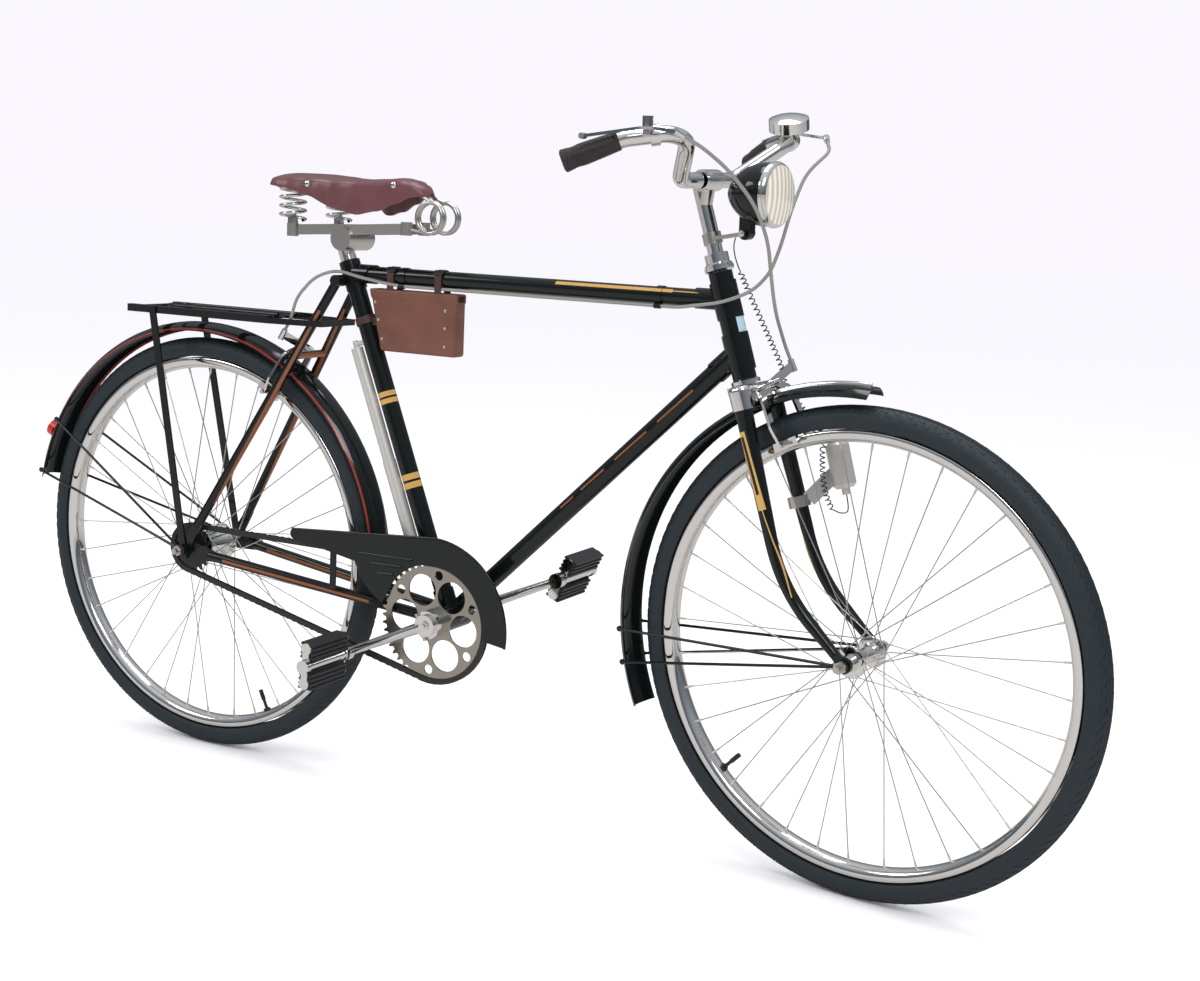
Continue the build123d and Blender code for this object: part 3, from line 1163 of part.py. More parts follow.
def crown(blades, guard):
    """Crown with a domed cap over each blade, the steerer and the bolt that carries the mudguard."""
    top, bottom = on_head(CROWN_TOP_Z), on_head(CROWN_BOTTOM_Z)
    block = [rod(top - STEER_UP * CROWN_PLATE, top, CROWN_COLLAR_R)]
    for side in SIDES:
        seat = bottom + STEER_AHEAD * BLADE_SET_FORWARD + LEFT * side * BLADE_Y_TOP
        socket = extrude(oval(Plane(origin=seat, x_dir=STEER_AHEAD, z_dir=STEER_UP),
                              BLADE_DEPTH + 2 * CROWN_WALL, BLADE_BREADTH + 2 * CROWN_WALL), amount=CROWN_CAP)
        top_face = socket.faces().sort_by(Axis(seat, STEER_UP))[-1]
        block.append(fillet(top_face.edges(), CROWN_CAP_ROUND))
    middle = top - STEER_UP * CROWN_PLATE / 2 + STEER_AHEAD * BLADE_SET_FORWARD / 2
    line = (middle - LEFT * BLADE_Y_TOP, middle + LEFT * BLADE_Y_TOP)
    block.append(strap(line, [], CROWN_PLATE_DEPTH, CROWN_PLATE, STEER_UP))
    block.append(rod(top, on_head(HEAD_TOP_Z + STEERER_ABOVE), STEERER_R))
    toward = (FRONT_GUARD["centre"] - middle).normalized()
    reach = (FRONT_GUARD["centre"] - middle).length - GUARD_RADIUS + MUDGUARD_WALL
    block.append(rod(middle, middle + toward * reach, BRAKE_BOLT_R))
    return cut_by(joined(block), list(blades) + [guard])


def headset():
    bore = STEERER_R + CUP_BORE_GAP
    lower = lathe(Polyline((0, bore), (0, RACE_R), (RACE_LIP, RACE_R), (CUP_HEIGHT, HEAD_TUBE_R),
                           (CUP_HEIGHT, bore), close=True),
                  on_head(HEAD_BOTTOM_Z) - STEER_UP * CUP_HEIGHT, STEER_UP, STEER_AHEAD)
    upper = lathe(Polyline((0, bore), (0, HEAD_TUBE_R), (RACE_HEIGHT - RACE_LIP, RACE_R),
                           (RACE_HEIGHT, RACE_R), (RACE_HEIGHT, bore), close=True),
                  on_head(HEAD_TOP_Z), STEER_UP, STEER_AHEAD)
    collar = RACE_R - CUP_BORE_GAP
    nut = lathe(Polyline((0, STEERER_R), (0, collar), (RACE_LIP / 2, collar), (RACE_LIP, LOCK_NUT_R),
                         (LOCK_NUT_HEIGHT, LOCK_NUT_R), (LOCK_NUT_HEIGHT, STEERER_R), close=True),
                on_head(HEAD_TOP_Z) + STEER_UP * (RACE_HEIGHT + FREE_GAP), STEER_UP, STEER_AHEAD)
    return Compound([lower, upper]), nut


def stem():
    quill_top = on_head(BAR_Z)
    quill = rod(on_head(HEAD_TOP_Z + STEERER_ABOVE), quill_top, STEM_R)
    clamp = cross_rod(BAR_CENTRE, BAR_R + STEM_CLAMP_WALL, -STEM_CLAMP_HALF, STEM_CLAMP_HALF)
    neck = rod(on_head(BAR_Z - STEM_NECK_DROP), BAR_CENTRE, STEM_R)
    bolt = rod(quill_top, quill_top + STEER_UP * STEM_BOLT_RISE, STEM_BOLT_R)
    return (quill + clamp + neck - across(BAR_CENTRE, BAR_R)) + (bolt - across(BAR_CENTRE, BAR_R))


def bar_point(offset, side):
    return BAR_CENTRE + mirrored(offset, side)


def handlebar():
    points = [bar_point(offset, 1) for offset in (BAR_END, BAR_GRIP, BAR_UPPER, BAR_LOWER)]
    bends = [BAR_GRIP_BEND, BAR_UPPER_BEND, BAR_LOWER_BEND]
    return bent(points + [mirrored(point, -1) for point in reversed(points)], bends + bends[::-1], BAR_R)


def grip_line(side):
    end = bar_point(BAR_END, side)
    return end, (bar_point(BAR_GRIP, side) - end).normalized()


def grips():
    pieces = []
    for side in SIDES:
        end, along = grip_line(side)
        sleeve = rod(end - along * GRIP_CAP, end + along * GRIP_LENGTH, GRIP_R, GRIP_END_R)
        pieces.append(sleeve - rod(end, end + along * 2 * GRIP_LENGTH, BAR_R))
    return Compound(pieces)


def lever_band(side):
    """Middle of a lever's band on the bar, with the bar's direction there."""
    start, end = bar_point(BAR_GRIP, side), bar_point(BAR_UPPER, side)
    return start + (end - start) * LEVER_AT, (end - start).normalized()


def lever_pivot(side):
    return lever_band(side)[0] + mirrored(LEVER_SIDE, side)


def cable_socket(side):
    """Front end of the socket that the cable of a brake lever leaves, with its direction."""
    leave = mirrored(CABLE_LEAVE, side).normalized()
    return lever_pivot(side) + mirrored(LEVER_STOP, side) + leave * (SOCKET_LENGTH - LEVER_THICK), leave


def levers(bar):
    pieces = []
    for side in SIDES:
        end, along = grip_line(side)
        band, run = lever_band(side)
        pivot = lever_pivot(side)
        ring = rod(band - run * LEVER_BAND / 2, band + run * LEVER_BAND / 2, BAR_R + LEVER_BAND_WALL)
        arm = rod(band, pivot, LEVER_BAND / 2)
        post = rod(pivot - UP * LEVER_SIDE.Z, pivot + UP * LEVER_POST_RISE, LEVER_POST_R)
        stop = pivot + mirrored(LEVER_STOP, side)
        tip = end + along * LEVER_TIP_IN + mirrored(LEVER_TIP, side)
        blade = strap((stop, pivot, tip), (LEVER_BEND,), LEVER_WIDTH, LEVER_THICK)
        knob = cross_rod(tip, LEVER_THICK, tip.Y - LEVER_WIDTH / 2, tip.Y + LEVER_WIDTH / 2)
        mouth, leave = cable_socket(side)
        socket = rod(mouth - leave * SOCKET_LENGTH, mouth, SOCKET_R)
        pieces.append(joined([ring, arm, post, blade, knob, socket]) - bar)
    return pieces


def bell(bar):
    """Drum with a domed lid on a band round the upper bend of the left bar, square to the bar."""
    corner = bar_point(BAR_UPPER, 1)
    arrive = (corner - bar_point(BAR_LOWER, 1)).normalized()
    leave = (bar_point(BAR_GRIP, 1) - corner).normalized()
    half_turn = math.radians(arrive.get_angle(leave)) / 2
    foot = corner + (leave - arrive).normalized() * BAR_UPPER_BEND * (1 / math.cos(half_turn) - 1)
    tangent = (arrive + leave).normalized()
    axis = (UP - tangent * tangent.Z).normalized()
    lid = BELL_STAND + BELL_WALL
    top = lid + BELL_DOME
    height, half_r = cap_point(BELL_R, BELL_DOME)
    drum = lathe([Polyline((top, 0), (BELL_STAND, 0), (BELL_STAND, BELL_R), (lid, BELL_R)),
                  ThreePointArc((lid, BELL_R), (lid + height, half_r), (top, 0))], foot, axis, tangent)
    post = rod(foot, foot + axis * BELL_STAND, BELL_POST_R)
    band = tangent * LEVER_BAND / 2
    ring = rod(foot - band, foot + band, BAR_R + LEVER_BAND_WALL)
    return joined([drum, post, ring]) - bar


def lamp():
    front = -LAMP_RIM_WIDTH
    glass_r = LAMP_R - LAMP_RIM_LIP
    bowl = lathe([Polyline((front, LAMP_R), (front, 0), (-LAMP_DEPTH, 0), (-LAMP_DEPTH, LAMP_BACK_R)),
                  ThreePointArc((-LAMP_DEPTH, LAMP_BACK_R), (LAMP_BULGE.X, LAMP_BULGE.Z), (front, LAMP_R))],
                 LAMP_RIM, FORWARD)
    hanger = prism([LAMP_LUG - FORWARD * LAMP_LUG_R, LAMP_LUG + FORWARD * LAMP_LUG_R,
                    LAMP_LUG + Vector(LAMP_LUG_R, 0, LAMP_R), LAMP_LUG + Vector(-LAMP_LUG_R, 0, LAMP_R)],
                   -LAMP_LUG_HALF, LAMP_LUG_HALF)
    shell = joined([bowl, hanger, cross_rod(LAMP_LUG, LAMP_LUG_R, -LAMP_LUG_HALF, LAMP_LUG_HALF)])
    over = LAMP_R + LAMP_RIM_OVER
    rim = lathe([Polyline((0, glass_r), (front, glass_r), (front, over)),
                 ThreePointArc((front, over), (front / 4, LAMP_R), (0, glass_r))], LAMP_RIM, FORWARD)
    lens = lathe([Polyline((LAMP_DOME, 0), (front, 0), (front, glass_r), (0, glass_r)),
                  ThreePointArc((0, glass_r), cap_point(glass_r, LAMP_DOME), (LAMP_DOME, 0))],
                 LAMP_RIM, FORWARD)
    band_mid = on_head(LAMP_BAND_Z)
    half = LAMP_BAND_HEIGHT / 2
    arm = strap((band_mid, LAMP_LUG), [], LAMP_ARM_WIDTH, LAMP_ARM_THICK)
    band = rod(band_mid - STEER_UP * half, band_mid + STEER_UP * half, STEM_R + LAMP_BAND_WALL)
    quill = rod(band_mid - STEER_UP * LAMP_R, band_mid + STEER_UP * LAMP_R, STEM_R)
    return shell, rim, lens, cut_by(arm + band, (quill, shell))


# Brakes

def brake_frame(axle, lean, facing):
    """Pivot of a brake with its directions: up from the axle and out along the bolt."""
    up = polar(Vector(0, 0, 0), 1, lean)
    out = up.cross(LEFT) * facing
    return axle + up * BRAKE_PIVOT_R + out * BRAKE_OUT, up, out


def cable_anchor(axle, lean, facing, side):
    """Upper end of the barrel that takes the cable of a brake."""
    pivot, up, out = brake_frame(axle, lean, facing)
    rise = BRAKE_ANCHOR_RISE + BRAKE_ANCHOR_LENGTH / 2
    return pivot + up * rise + out * BRAKE_ANCHOR_OUT + LEFT * side * BRAKE_ANCHOR_Y


def caliper(axle, lean, facing, cable_side, bolt):
    """Side-pull brake: two plate arms from a pivot bolt, round the tyre, to the pads beside the rim."""
    pivot, up, out = brake_frame(axle, lean, facing)
    pad_drop = BRAKE_PIVOT_R - RIM_RADIUS + BRAKE_PAD_DROP
    pad_y = RIM_WIDTH / 2 + BRAKE_PAD_GAP + BRAKE_PAD_THICK / 2
    pieces = [rod(pivot - out * bolt, pivot + out * BRAKE_BOLT_FRONT, BRAKE_BOLT_R)]
    for side in SIDES:
        layer = pivot + out * side * BRAKE_ARM_PLATE / 2
        shoulder = layer - up * BRAKE_SHOULDER_DROP + LEFT * side * (MUDGUARD_WIDTH / 2 + BRAKE_SHOULDER_OUT)
        knee = layer - up * (pad_drop - BRAKE_KNEE_RISE) + LEFT * side * (MUDGUARD_WIDTH / 2 + BRAKE_KNEE_OUT)
        foot = layer - up * pad_drop + LEFT * side * (pad_y + BRAKE_PAD_STALK)
        bends = (BRAKE_ARM_WIDTH, BRAKE_ARM_WIDTH * 1.5)
        pieces.append(strap((layer, shoulder, knee, foot), bends, BRAKE_ARM_WIDTH, BRAKE_ARM_PLATE, out))
        pad = pivot - up * pad_drop + LEFT * side * pad_y
        block = Plane(origin=pad - out * BRAKE_PAD_LENGTH / 2, x_dir=LEFT, z_dir=out)
        pieces.append(extrude(block * Rectangle(BRAKE_PAD_THICK, BRAKE_PAD_HEIGHT), amount=BRAKE_PAD_LENGTH))
        stalk_end = pad + LEFT * side * (BRAKE_PAD_STALK + BRAKE_ARM_WIDTH)
        pieces.append(rod(pad, stalk_end, BRAKE_STALK_R))
    anchor = cable_anchor(axle, lean, facing, cable_side)
    yoke = anchor - up * BRAKE_ANCHOR_LENGTH / 2
    pieces.append(strap((pivot, yoke), [], BRAKE_ARM_WIDTH, BRAKE_ARM_PLATE, out))
    pieces.append(rod(anchor - up * BRAKE_ANCHOR_LENGTH, anchor, BRAKE_ANCHOR_R))
    return joined(pieces)


REAR_BRAKE = dict(axle=REAR_AXLE, lean=REAR_BRAKE_LEAN, facing=1)
FRONT_BRAKE = dict(axle=FRONT_AXLE, lean=FRONT_BRAKE_LEAN, facing=-1)


# Dynamo, pump and bag

def dynamo(blades):
    axis, base = DYNAMO_AXIS, DYNAMO_BASE
    shoulder, neck = DYNAMO_LENGTH, DYNAMO_LENGTH + DYNAMO_SHOULDER
    body = lathe(Polyline((neck, DYNAMO_NECK_R), (neck, 0), (0, 0), (0, DYNAMO_R - DYNAMO_CHAMFER),
                          (DYNAMO_CHAMFER, DYNAMO_R), (shoulder, DYNAMO_R), close=True),
                 base, axis, STEER_AHEAD)
    body = body + rod(base + axis * neck, base + axis * (neck + DYNAMO_ROLLER_LENGTH), DYNAMO_ROLLER_R)
    body = body + rod(base - axis * DYNAMO_TERMINAL, base, DYNAMO_TERMINAL_R)
    clamp = STEER_FOOT + STEER_UP * (RIM_RADIUS - DYNAMO_CLAMP_DROP)
    clamp = clamp + STEER_AHEAD * BLADE_SET_FORWARD + LEFT * DYNAMO_CLAMP_Y
    band = rod(clamp - STEER_UP * DYNAMO_CLAMP_HALF, clamp + STEER_UP * DYNAMO_CLAMP_HALF, DYNAMO_CLAMP_R)
    arm = strap((clamp + STEER_AHEAD * DYNAMO_CLAMP_R, base + axis * DYNAMO_PLATE_UP), [],
                DYNAMO_PLATE_WIDTH, DYNAMO_PLATE, LEFT)
    return body, cut_by(band + arm, list(blades) + [body])


def pump(frame):
    back = SEAT_UP.cross(LEFT) * (MAIN_TUBE_R + PUMP_R)
    offset = back - LEFT * PUMP_SIDE
    low, high = on_seat(BRACKET_Z + PUMP_LOW) + offset, on_seat(TOP_TUBE_Z - PUMP_DROP) + offset
    pieces = [rod(low, high, PUMP_R), rod(low, low + (high - low) * PUMP_HANDLE_AT, PUMP_HANDLE_R)]
    for end, away in ((low, SEAT_UP * -1), (high, SEAT_UP)):
        peg = end + away * PUMP_PEG / 2
        pieces.append(rod(end, end + away * PUMP_PEG, PUMP_PEG_R))
        pieces.append(rod(peg, peg - offset, PUMP_PEG_R))
    return joined(pieces) - frame["seat_tube"]


def tool_bag(frame):
    """Flat leather case under the top tube, hung from two straps, its lower rear corner cut away."""
    top = TOP_TUBE_Z - TOP_TUBE_R - BAG_DROP
    rear = SEAT_JOINT.X + BAG_AHEAD
    front, low = rear + BAG_LENGTH, top - BAG_HEIGHT
    corners = [Vector(rear - BAG_CUT, 0, top), Vector(front, 0, top), Vector(front, 0, low),
               Vector(rear, 0, low)]
    bag = prism(corners, -BAG_HALF, BAG_HALF)
    bag = fillet(bag.edges().filter_by(Axis.Y), BAG_ROUND)
    for ahead in BAG_STRAPS:
        x = rear + ahead
        centre = Vector(x, 0, TOP_TUBE_Z)
        band = FORWARD * BAG_STRAP_WIDTH / 2
        loop = rod(centre - band, centre + band, TOP_TUBE_R + BAG_STRAP)
        web = Pos(x, 0, (TOP_TUBE_Z + top - BAG_DROP) / 2)
        tie = web * Box(BAG_STRAP_WIDTH, 2 * (TOP_TUBE_R + BAG_STRAP), TOP_TUBE_Z - top + BAG_DROP)
        bag = bag + (loop + tie - frame["top_solid"])
    return bag


# Cables and lamp lead

def cable_run_point(x):
    """Point of the rear cable where it is clipped below the right side of the top tube."""
    turn = math.radians(CABLE_UNDER)
    away = TOP_TUBE_R + LUG_WALL + CABLE_CLEAR + CABLE_R
    return Vector(x, -away * math.cos(turn), TOP_TUBE_Z - away * math.sin(turn))


def cable_clips(cable):
    clips = []
    for x in CABLE_CLIPS:
        centre, held = Vector(x, 0, TOP_TUBE_Z), cable_run_point(x)
        half = FORWARD * CLIP_WIDTH / 2
        band = rod(centre - half, centre + half, TOP_TUBE_R + CLIP_WALL)
        clips.append(band + rod(held - half, held + half, CABLE_R + CLIP_WALL))
    return [clip - cable for clip in clips]


def way_points(origin, offsets):
    return [origin + Vector(*offset) for offset in offsets]


def front_cable():
    """Right lever to front brake, past the right side of the lamp."""
    end, up = cable_anchor(side=1, **FRONT_BRAKE), brake_frame(**FRONT_BRAKE)[1]
    start, leave = cable_socket(-1)
    route = [start, start + leave * CABLE_LEAVE.length] + way_points(HEAD_JOINT, FRONT_CABLE)
    return cord("front brake cable", route + [end + up * CABLE_STRAIGHT, end], CABLE_R)


def turned(point, share):
    """Point turned about the steering axis by a share of the angle at rest."""
    return STEER_FOOT + (point - STEER_FOOT).rotate(Axis((0, 0, 0), STEER_UP), STEER_AT_REST * share)


def rear_cable_loop():
    """Left lever to the first clip of the top tube, round the front of the head tube, steered as at rest."""
    start, leave = cable_socket(1)
    clip = cable_run_point(CABLE_CLIPS[0] + CLIP_WIDTH)
    route = [turned(start, 1), turned(start + leave * CABLE_LEAVE.length, 1)]
    for x, y, z, share in REAR_LOOP:
        route.append(turned(HEAD_JOINT + Vector(x, y, z), share))
    return cord("rear brake cable loop", route + [clip + FORWARD * CABLE_STRAIGHT, clip], CABLE_R)


def rear_cable():
    """First clip of the top tube to the rear brake, past the right side of the seat lug."""
    end, up = cable_anchor(side=-1, **REAR_BRAKE), brake_frame(**REAR_BRAKE)[1]
    first, last = cable_run_point(CABLE_CLIPS[0] + CLIP_WIDTH), cable_run_point(CABLE_CLIPS[-1] - CLIP_WIDTH)
    route = [first, last] + way_points(SEAT_JOINT, REAR_CABLE)
    return cord("rear brake cable", route + [end + up * CABLE_STRAIGHT, end], CABLE_R)


def lamp_lead(pieces):
    """Curled lead as one fat tube, from the lamp's arm past the brake to the dynamo's terminal."""
    band = on_head(LAMP_BAND_Z)
    route = [band + (LAMP_LUG - band) * LEAD_AT] + way_points(HEAD_JOINT, LEAD_UPPER)
    route += way_points(DYNAMO_BASE, LEAD_LOWER) + [DYNAMO_BASE - DYNAMO_AXIS * DYNAMO_TERMINAL / 2]
    return cut_by(cord("lamp lead", route, LEAD_R), pieces)


def build_all():
    straight = frame_tubes()
    straight.update(rear_stays(straight))
    straight["rear_tyre"], straight["rear_rim"], straight["rear_hub"] = wheel(REAR_AXLE, **REAR_HUB)
    straight["chain"] = chain()
    straight["cranks"] = crank_arms()
    straight["chainring"] = chainring() - straight["cranks"]
    straight["rear_sprocket"] = rear_sprocket()
    for name, side, tilt in (("left", 1, LEFT_PEDAL_TILT), ("right", -1, RIGHT_PEDAL_TILT)):
        straight[f"{name}_pedal"], straight[f"{name}_pedal_rubbers"] = pedal(side, tilt)
    straight["chain_guard"] = chain_guard(straight)
    rear_guard = mudguard(**REAR_GUARD)
    straight["rear_mudguard"] = rear_guard
    wire_face = DROPOUT_FACE + STAY_TAB + RACK_TAB
    wires = guard_stays(REAR_GUARD, REAR_WIRES, REAR_AXLE, wire_face)
    straight["rack_deck"], legs = rack(straight, rear_guard)
    straight["rack_legs"] = Compound(legs)
    straight["rear_mudguard_stays"] = Compound([cut_by(wire, legs) for wire in wires]
                                               + rear_guard_clips(straight, rear_guard))
    straight["rear_axle"] = axle_with_nuts(REAR_AXLE, wire_face + WIRE_EYE)
    straight["rear_reflector"] = reflector() - rear_guard
    straight["saddle_cover"] = saddle_cover()
    straight["saddle_springs"] = saddle_springs()
    lower, cantle = saddle_frame()
    straight["saddle_frame"] = Compound([piece - straight["saddle_cover"] for piece in (lower, cantle)])
    straight["rear_brake"] = caliper(cable_side=-1, bolt=BRAKE_OUT, **REAR_BRAKE) - straight["seat_stays"]
    straight["pump"] = pump(straight)
    straight["rear_brake_cable"] = rear_cable()
    clips = cable_clips(straight["rear_brake_cable"])
    straight["top_tube"] = joined([straight["top_tube"]] + clips) - straight["seat_tube"]
    straight["tool_bag"] = tool_bag({"top_solid": straight["top_tube"]}) - straight["rear_brake_cable"]
    steered = {}
    blades = fork()
    front_guard = mudguard(**FRONT_GUARD)
    steered["fork_blades"] = Compound(blades)
    steered["front_mudguard"] = front_guard
    steered["fork_crown"] = crown(blades, front_guard)
    straight["headset_cups"], steered["headset_nut"] = headset()
    steered["stem"] = stem()
    steered["handlebar"] = handlebar()
    steered["grips"] = grips()
    steered["brake_levers"] = Compound(levers(steered["handlebar"]))
    steered["bell"] = bell(steered["handlebar"])
    steered["lamp_shell"], steered["lamp_rim"], steered["lamp_lens"], steered["lamp_bracket"] = lamp()
    steered["front_mudguard_stays"] = Compound(guard_stays(FRONT_GUARD, FRONT_WIRES, FRONT_AXLE, FORK_FACE))
    steered["front_axle"] = axle_with_nuts(FRONT_AXLE, FORK_FACE + WIRE_EYE)
    brake = caliper(cable_side=1, bolt=FRONT_BRAKE_BOLT, **FRONT_BRAKE)
    steered["front_brake"] = brake - steered["fork_crown"]
    steered["dynamo"], steered["dynamo_bracket"] = dynamo(blades)
    steered["front_brake_cable"] = front_cable()
    straight["rear_brake_cable_loop"] = rear_cable_loop()
    steered["dynamo_lead"] = lamp_lead([steered["lamp_bracket"], steered["dynamo"]])
    steered["front_tyre"], steered["front_rim"], steered["front_hub"] = wheel(FRONT_AXLE, **FRONT_HUB)
    return straight, steered


os.makedirs("parts", exist_ok=True)
straight, steered = build_all()
steering_axis = Axis(STEER_FOOT, STEER_UP)
for name, piece in steered.items():
    straight[name] = piece.rotate(steering_axis, STEER_AT_REST)
for name, piece in straight.items():
    export_step(piece.moved(Location(RIDER * -1)), f"parts/{name}.step")
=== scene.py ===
import json
import logging
import math
from dataclasses import dataclass
from enum import Enum
from typing import Dict, List, Optional, Sequence, Tuple

import bpy
from mathutils import Matrix, Vector


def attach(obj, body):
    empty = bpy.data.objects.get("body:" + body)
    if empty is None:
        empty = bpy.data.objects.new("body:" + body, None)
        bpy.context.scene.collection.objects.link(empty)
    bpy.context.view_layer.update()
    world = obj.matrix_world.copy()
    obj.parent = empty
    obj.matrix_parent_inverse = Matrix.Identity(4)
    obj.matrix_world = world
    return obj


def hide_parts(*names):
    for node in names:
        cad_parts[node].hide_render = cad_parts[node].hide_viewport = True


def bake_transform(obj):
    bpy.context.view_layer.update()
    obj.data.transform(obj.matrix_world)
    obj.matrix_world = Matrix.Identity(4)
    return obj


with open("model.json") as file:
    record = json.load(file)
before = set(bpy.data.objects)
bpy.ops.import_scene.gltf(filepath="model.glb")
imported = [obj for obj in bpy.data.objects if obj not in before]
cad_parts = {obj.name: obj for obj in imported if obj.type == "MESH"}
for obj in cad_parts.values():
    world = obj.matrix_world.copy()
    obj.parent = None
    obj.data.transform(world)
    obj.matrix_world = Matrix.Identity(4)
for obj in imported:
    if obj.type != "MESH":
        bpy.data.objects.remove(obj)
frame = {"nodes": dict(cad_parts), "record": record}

LOG = logging.getLogger("roadster")
Colour = Tuple[float, float, float]
Point = Tuple[float, float, float]
Pair = Tuple[float, float]

MM = 0.001
COAT_ROUGHNESS = 0.06
GRAIN_DETAIL = 3.0
GRAIN_DEPTH = 0.4 * MM
MOTTLE_SCALE = 28.0
MERGE_WITHIN = 1e-6
COPY_MERGE_WITHIN = 1e-7
BEVEL_STEPS = 3
RIVET_SQUASH = Vector((1, 0.5, 1))
MIX_SHARE, MIX_BASE, MIX_OVER = 0, 6, 7
MIX_RESULT = 2


class Body(Enum):
    """CAD bodies that a piece can ride on."""

    FRAME = "frame"
    STEERING = "steering"
    FRONT_WHEEL = "front_wheel"
    REAR_WHEEL = "rear_wheel"
    CRANKSET = "crankset"


class Side(Enum):
    """Sides of the bicycle, with the sign of their Y."""

    LEFT = 1
    RIGHT = -1


class Grain(Enum):
    """Surface textures, as scale of the noise and height of the bump."""

    NONE = (1.0, 0.0)
    PLATE = (900.0, 0.02)
    RUBBER = (1400.0, 0.25)
    LEATHER = (520.0, 0.45)
    BRUSHED = (2600.0, 0.06)


def colour_mix(tree: bpy.types.NodeTree, base: Colour, over: Colour,
               share: bpy.types.NodeSocket) -> bpy.types.Node:
    """Adds a mix of two colours.

    Args:
        tree: Node tree to extend.
        base: Colour where the share is nought.
        over: Colour where the share is one.
        share: Socket that gives the share.

    Returns:
        The mix node.
    """
    mix = tree.nodes.new("ShaderNodeMix")
    mix.data_type = "RGBA"
    mix.inputs[MIX_BASE].default_value = (*base, 1.0)
    mix.inputs[MIX_OVER].default_value = (*over, 1.0)
    tree.links.new(share, mix.inputs[MIX_SHARE])
    return mix


@dataclass(frozen=True)
class Finish:
    """Plain finish of one material.

    Attributes:
        name: Name of the Blender material.
        colour: Linear base colour.
        metal: Metallic share.
        rough: Roughness.
        grain: Surface texture.
        coat: Weight of the clear coat.
        mottle: Share by which the colour varies over the surface.
        shine: Specular level.
    """

    name: str
    colour: Colour
    metal: float = 0.0
    rough: float = 0.4
    grain: Grain = Grain.NONE
    coat: float = 0.0
    mottle: float = 0.0
    shine: float = 0.5

    def material(self) -> bpy.types.Material:
        """Returns: the Blender material, made on first use."""
        return bpy.data.materials.get(self.label()) or self.build()

    def label(self) -> str:
        """Returns: a material name that differs from the CAD slots' names."""
        return f"finish_{self.name}"

    def build(self) -> bpy.types.Material:
        """Makes the material's shader.

        Returns:
            The new material.
        """
        material = bpy.data.materials.new(self.label())
        material.use_nodes = True
        shader = material.node_tree.nodes["Principled BSDF"]
        shader.inputs["Base Color"].default_value = (*self.colour, 1.0)
        shader.inputs["Metallic"].default_value = self.metal
        shader.inputs["Roughness"].default_value = self.rough
        shader.inputs["Coat Weight"].default_value = self.coat
        shader.inputs["Coat Roughness"].default_value = COAT_ROUGHNESS
        shader.inputs["Specular IOR Level"].default_value = self.shine
        self.add_grain(material, shader)
        self.add_mottle(material, shader)
        return material

    def noise(self, material: bpy.types.Material, scale: float) -> bpy.types.Node:
        """Adds a noise on the object's coordinates.

        Args:
            material: Material to extend.
            scale: Scale of the noise, per metre.

        Returns:
            The noise node.
        """
        tree = material.node_tree
        coords = tree.nodes.new("ShaderNodeTexCoord")
        noise = tree.nodes.new("ShaderNodeTexNoise")
        noise.inputs["Scale"].default_value = scale
        noise.inputs["Detail"].default_value = GRAIN_DETAIL
        tree.links.new(coords.outputs["Object"], noise.inputs["Vector"])
        return noise

    def add_grain(self, material: bpy.types.Material, shader: bpy.types.Node) -> None:
        """Adds the bump of the finish's grain.

        Args:
            material: Material to extend.
            shader: Its Principled shader.
        """
        scale, strength = self.grain.value
        if not strength:
            return
        noise = self.noise(material, scale)
        bump = material.node_tree.nodes.new("ShaderNodeBump")
        bump.inputs["Strength"].default_value = strength
        bump.inputs["Distance"].default_value = GRAIN_DEPTH
        material.node_tree.links.new(noise.outputs["Fac"], bump.inputs["Height"])
        material.node_tree.links.new(bump.outputs["Normal"], shader.inputs["Normal"])

    def add_mottle(self, material: bpy.types.Material, shader: bpy.types.Node) -> None:
        """Adds soft variation of the base colour.

        Args:
            material: Material to extend.
            shader: Its Principled shader.
        """
        if not self.mottle:
            return
        ramp = material.node_tree.nodes.new("ShaderNodeValToRGB")
        low, high = (tuple(c * (1 + sign * self.mottle) for c in self.colour) for sign in (-1, 1))
        ramp.color_ramp.elements[0].color = (*low, 1.0)
        ramp.color_ramp.elements[1].color = (*high, 1.0)
        noise = self.noise(material, MOTTLE_SCALE)
        material.node_tree.links.new(noise.outputs["Fac"], ramp.inputs["Fac"])
        material.node_tree.links.new(ramp.outputs["Color"], shader.inputs["Base Color"])


@dataclass(frozen=True)
class Stripe:
    """Painted line between two points of the row frame.

    Attributes:
        start: First end.
        end: Second end.
        across: Direction across the line.
        half: Half its width.
        colour: Its colour.
    """

    start: Vector
    end: Vector
    across: Vector
    half: float
    colour: Colour


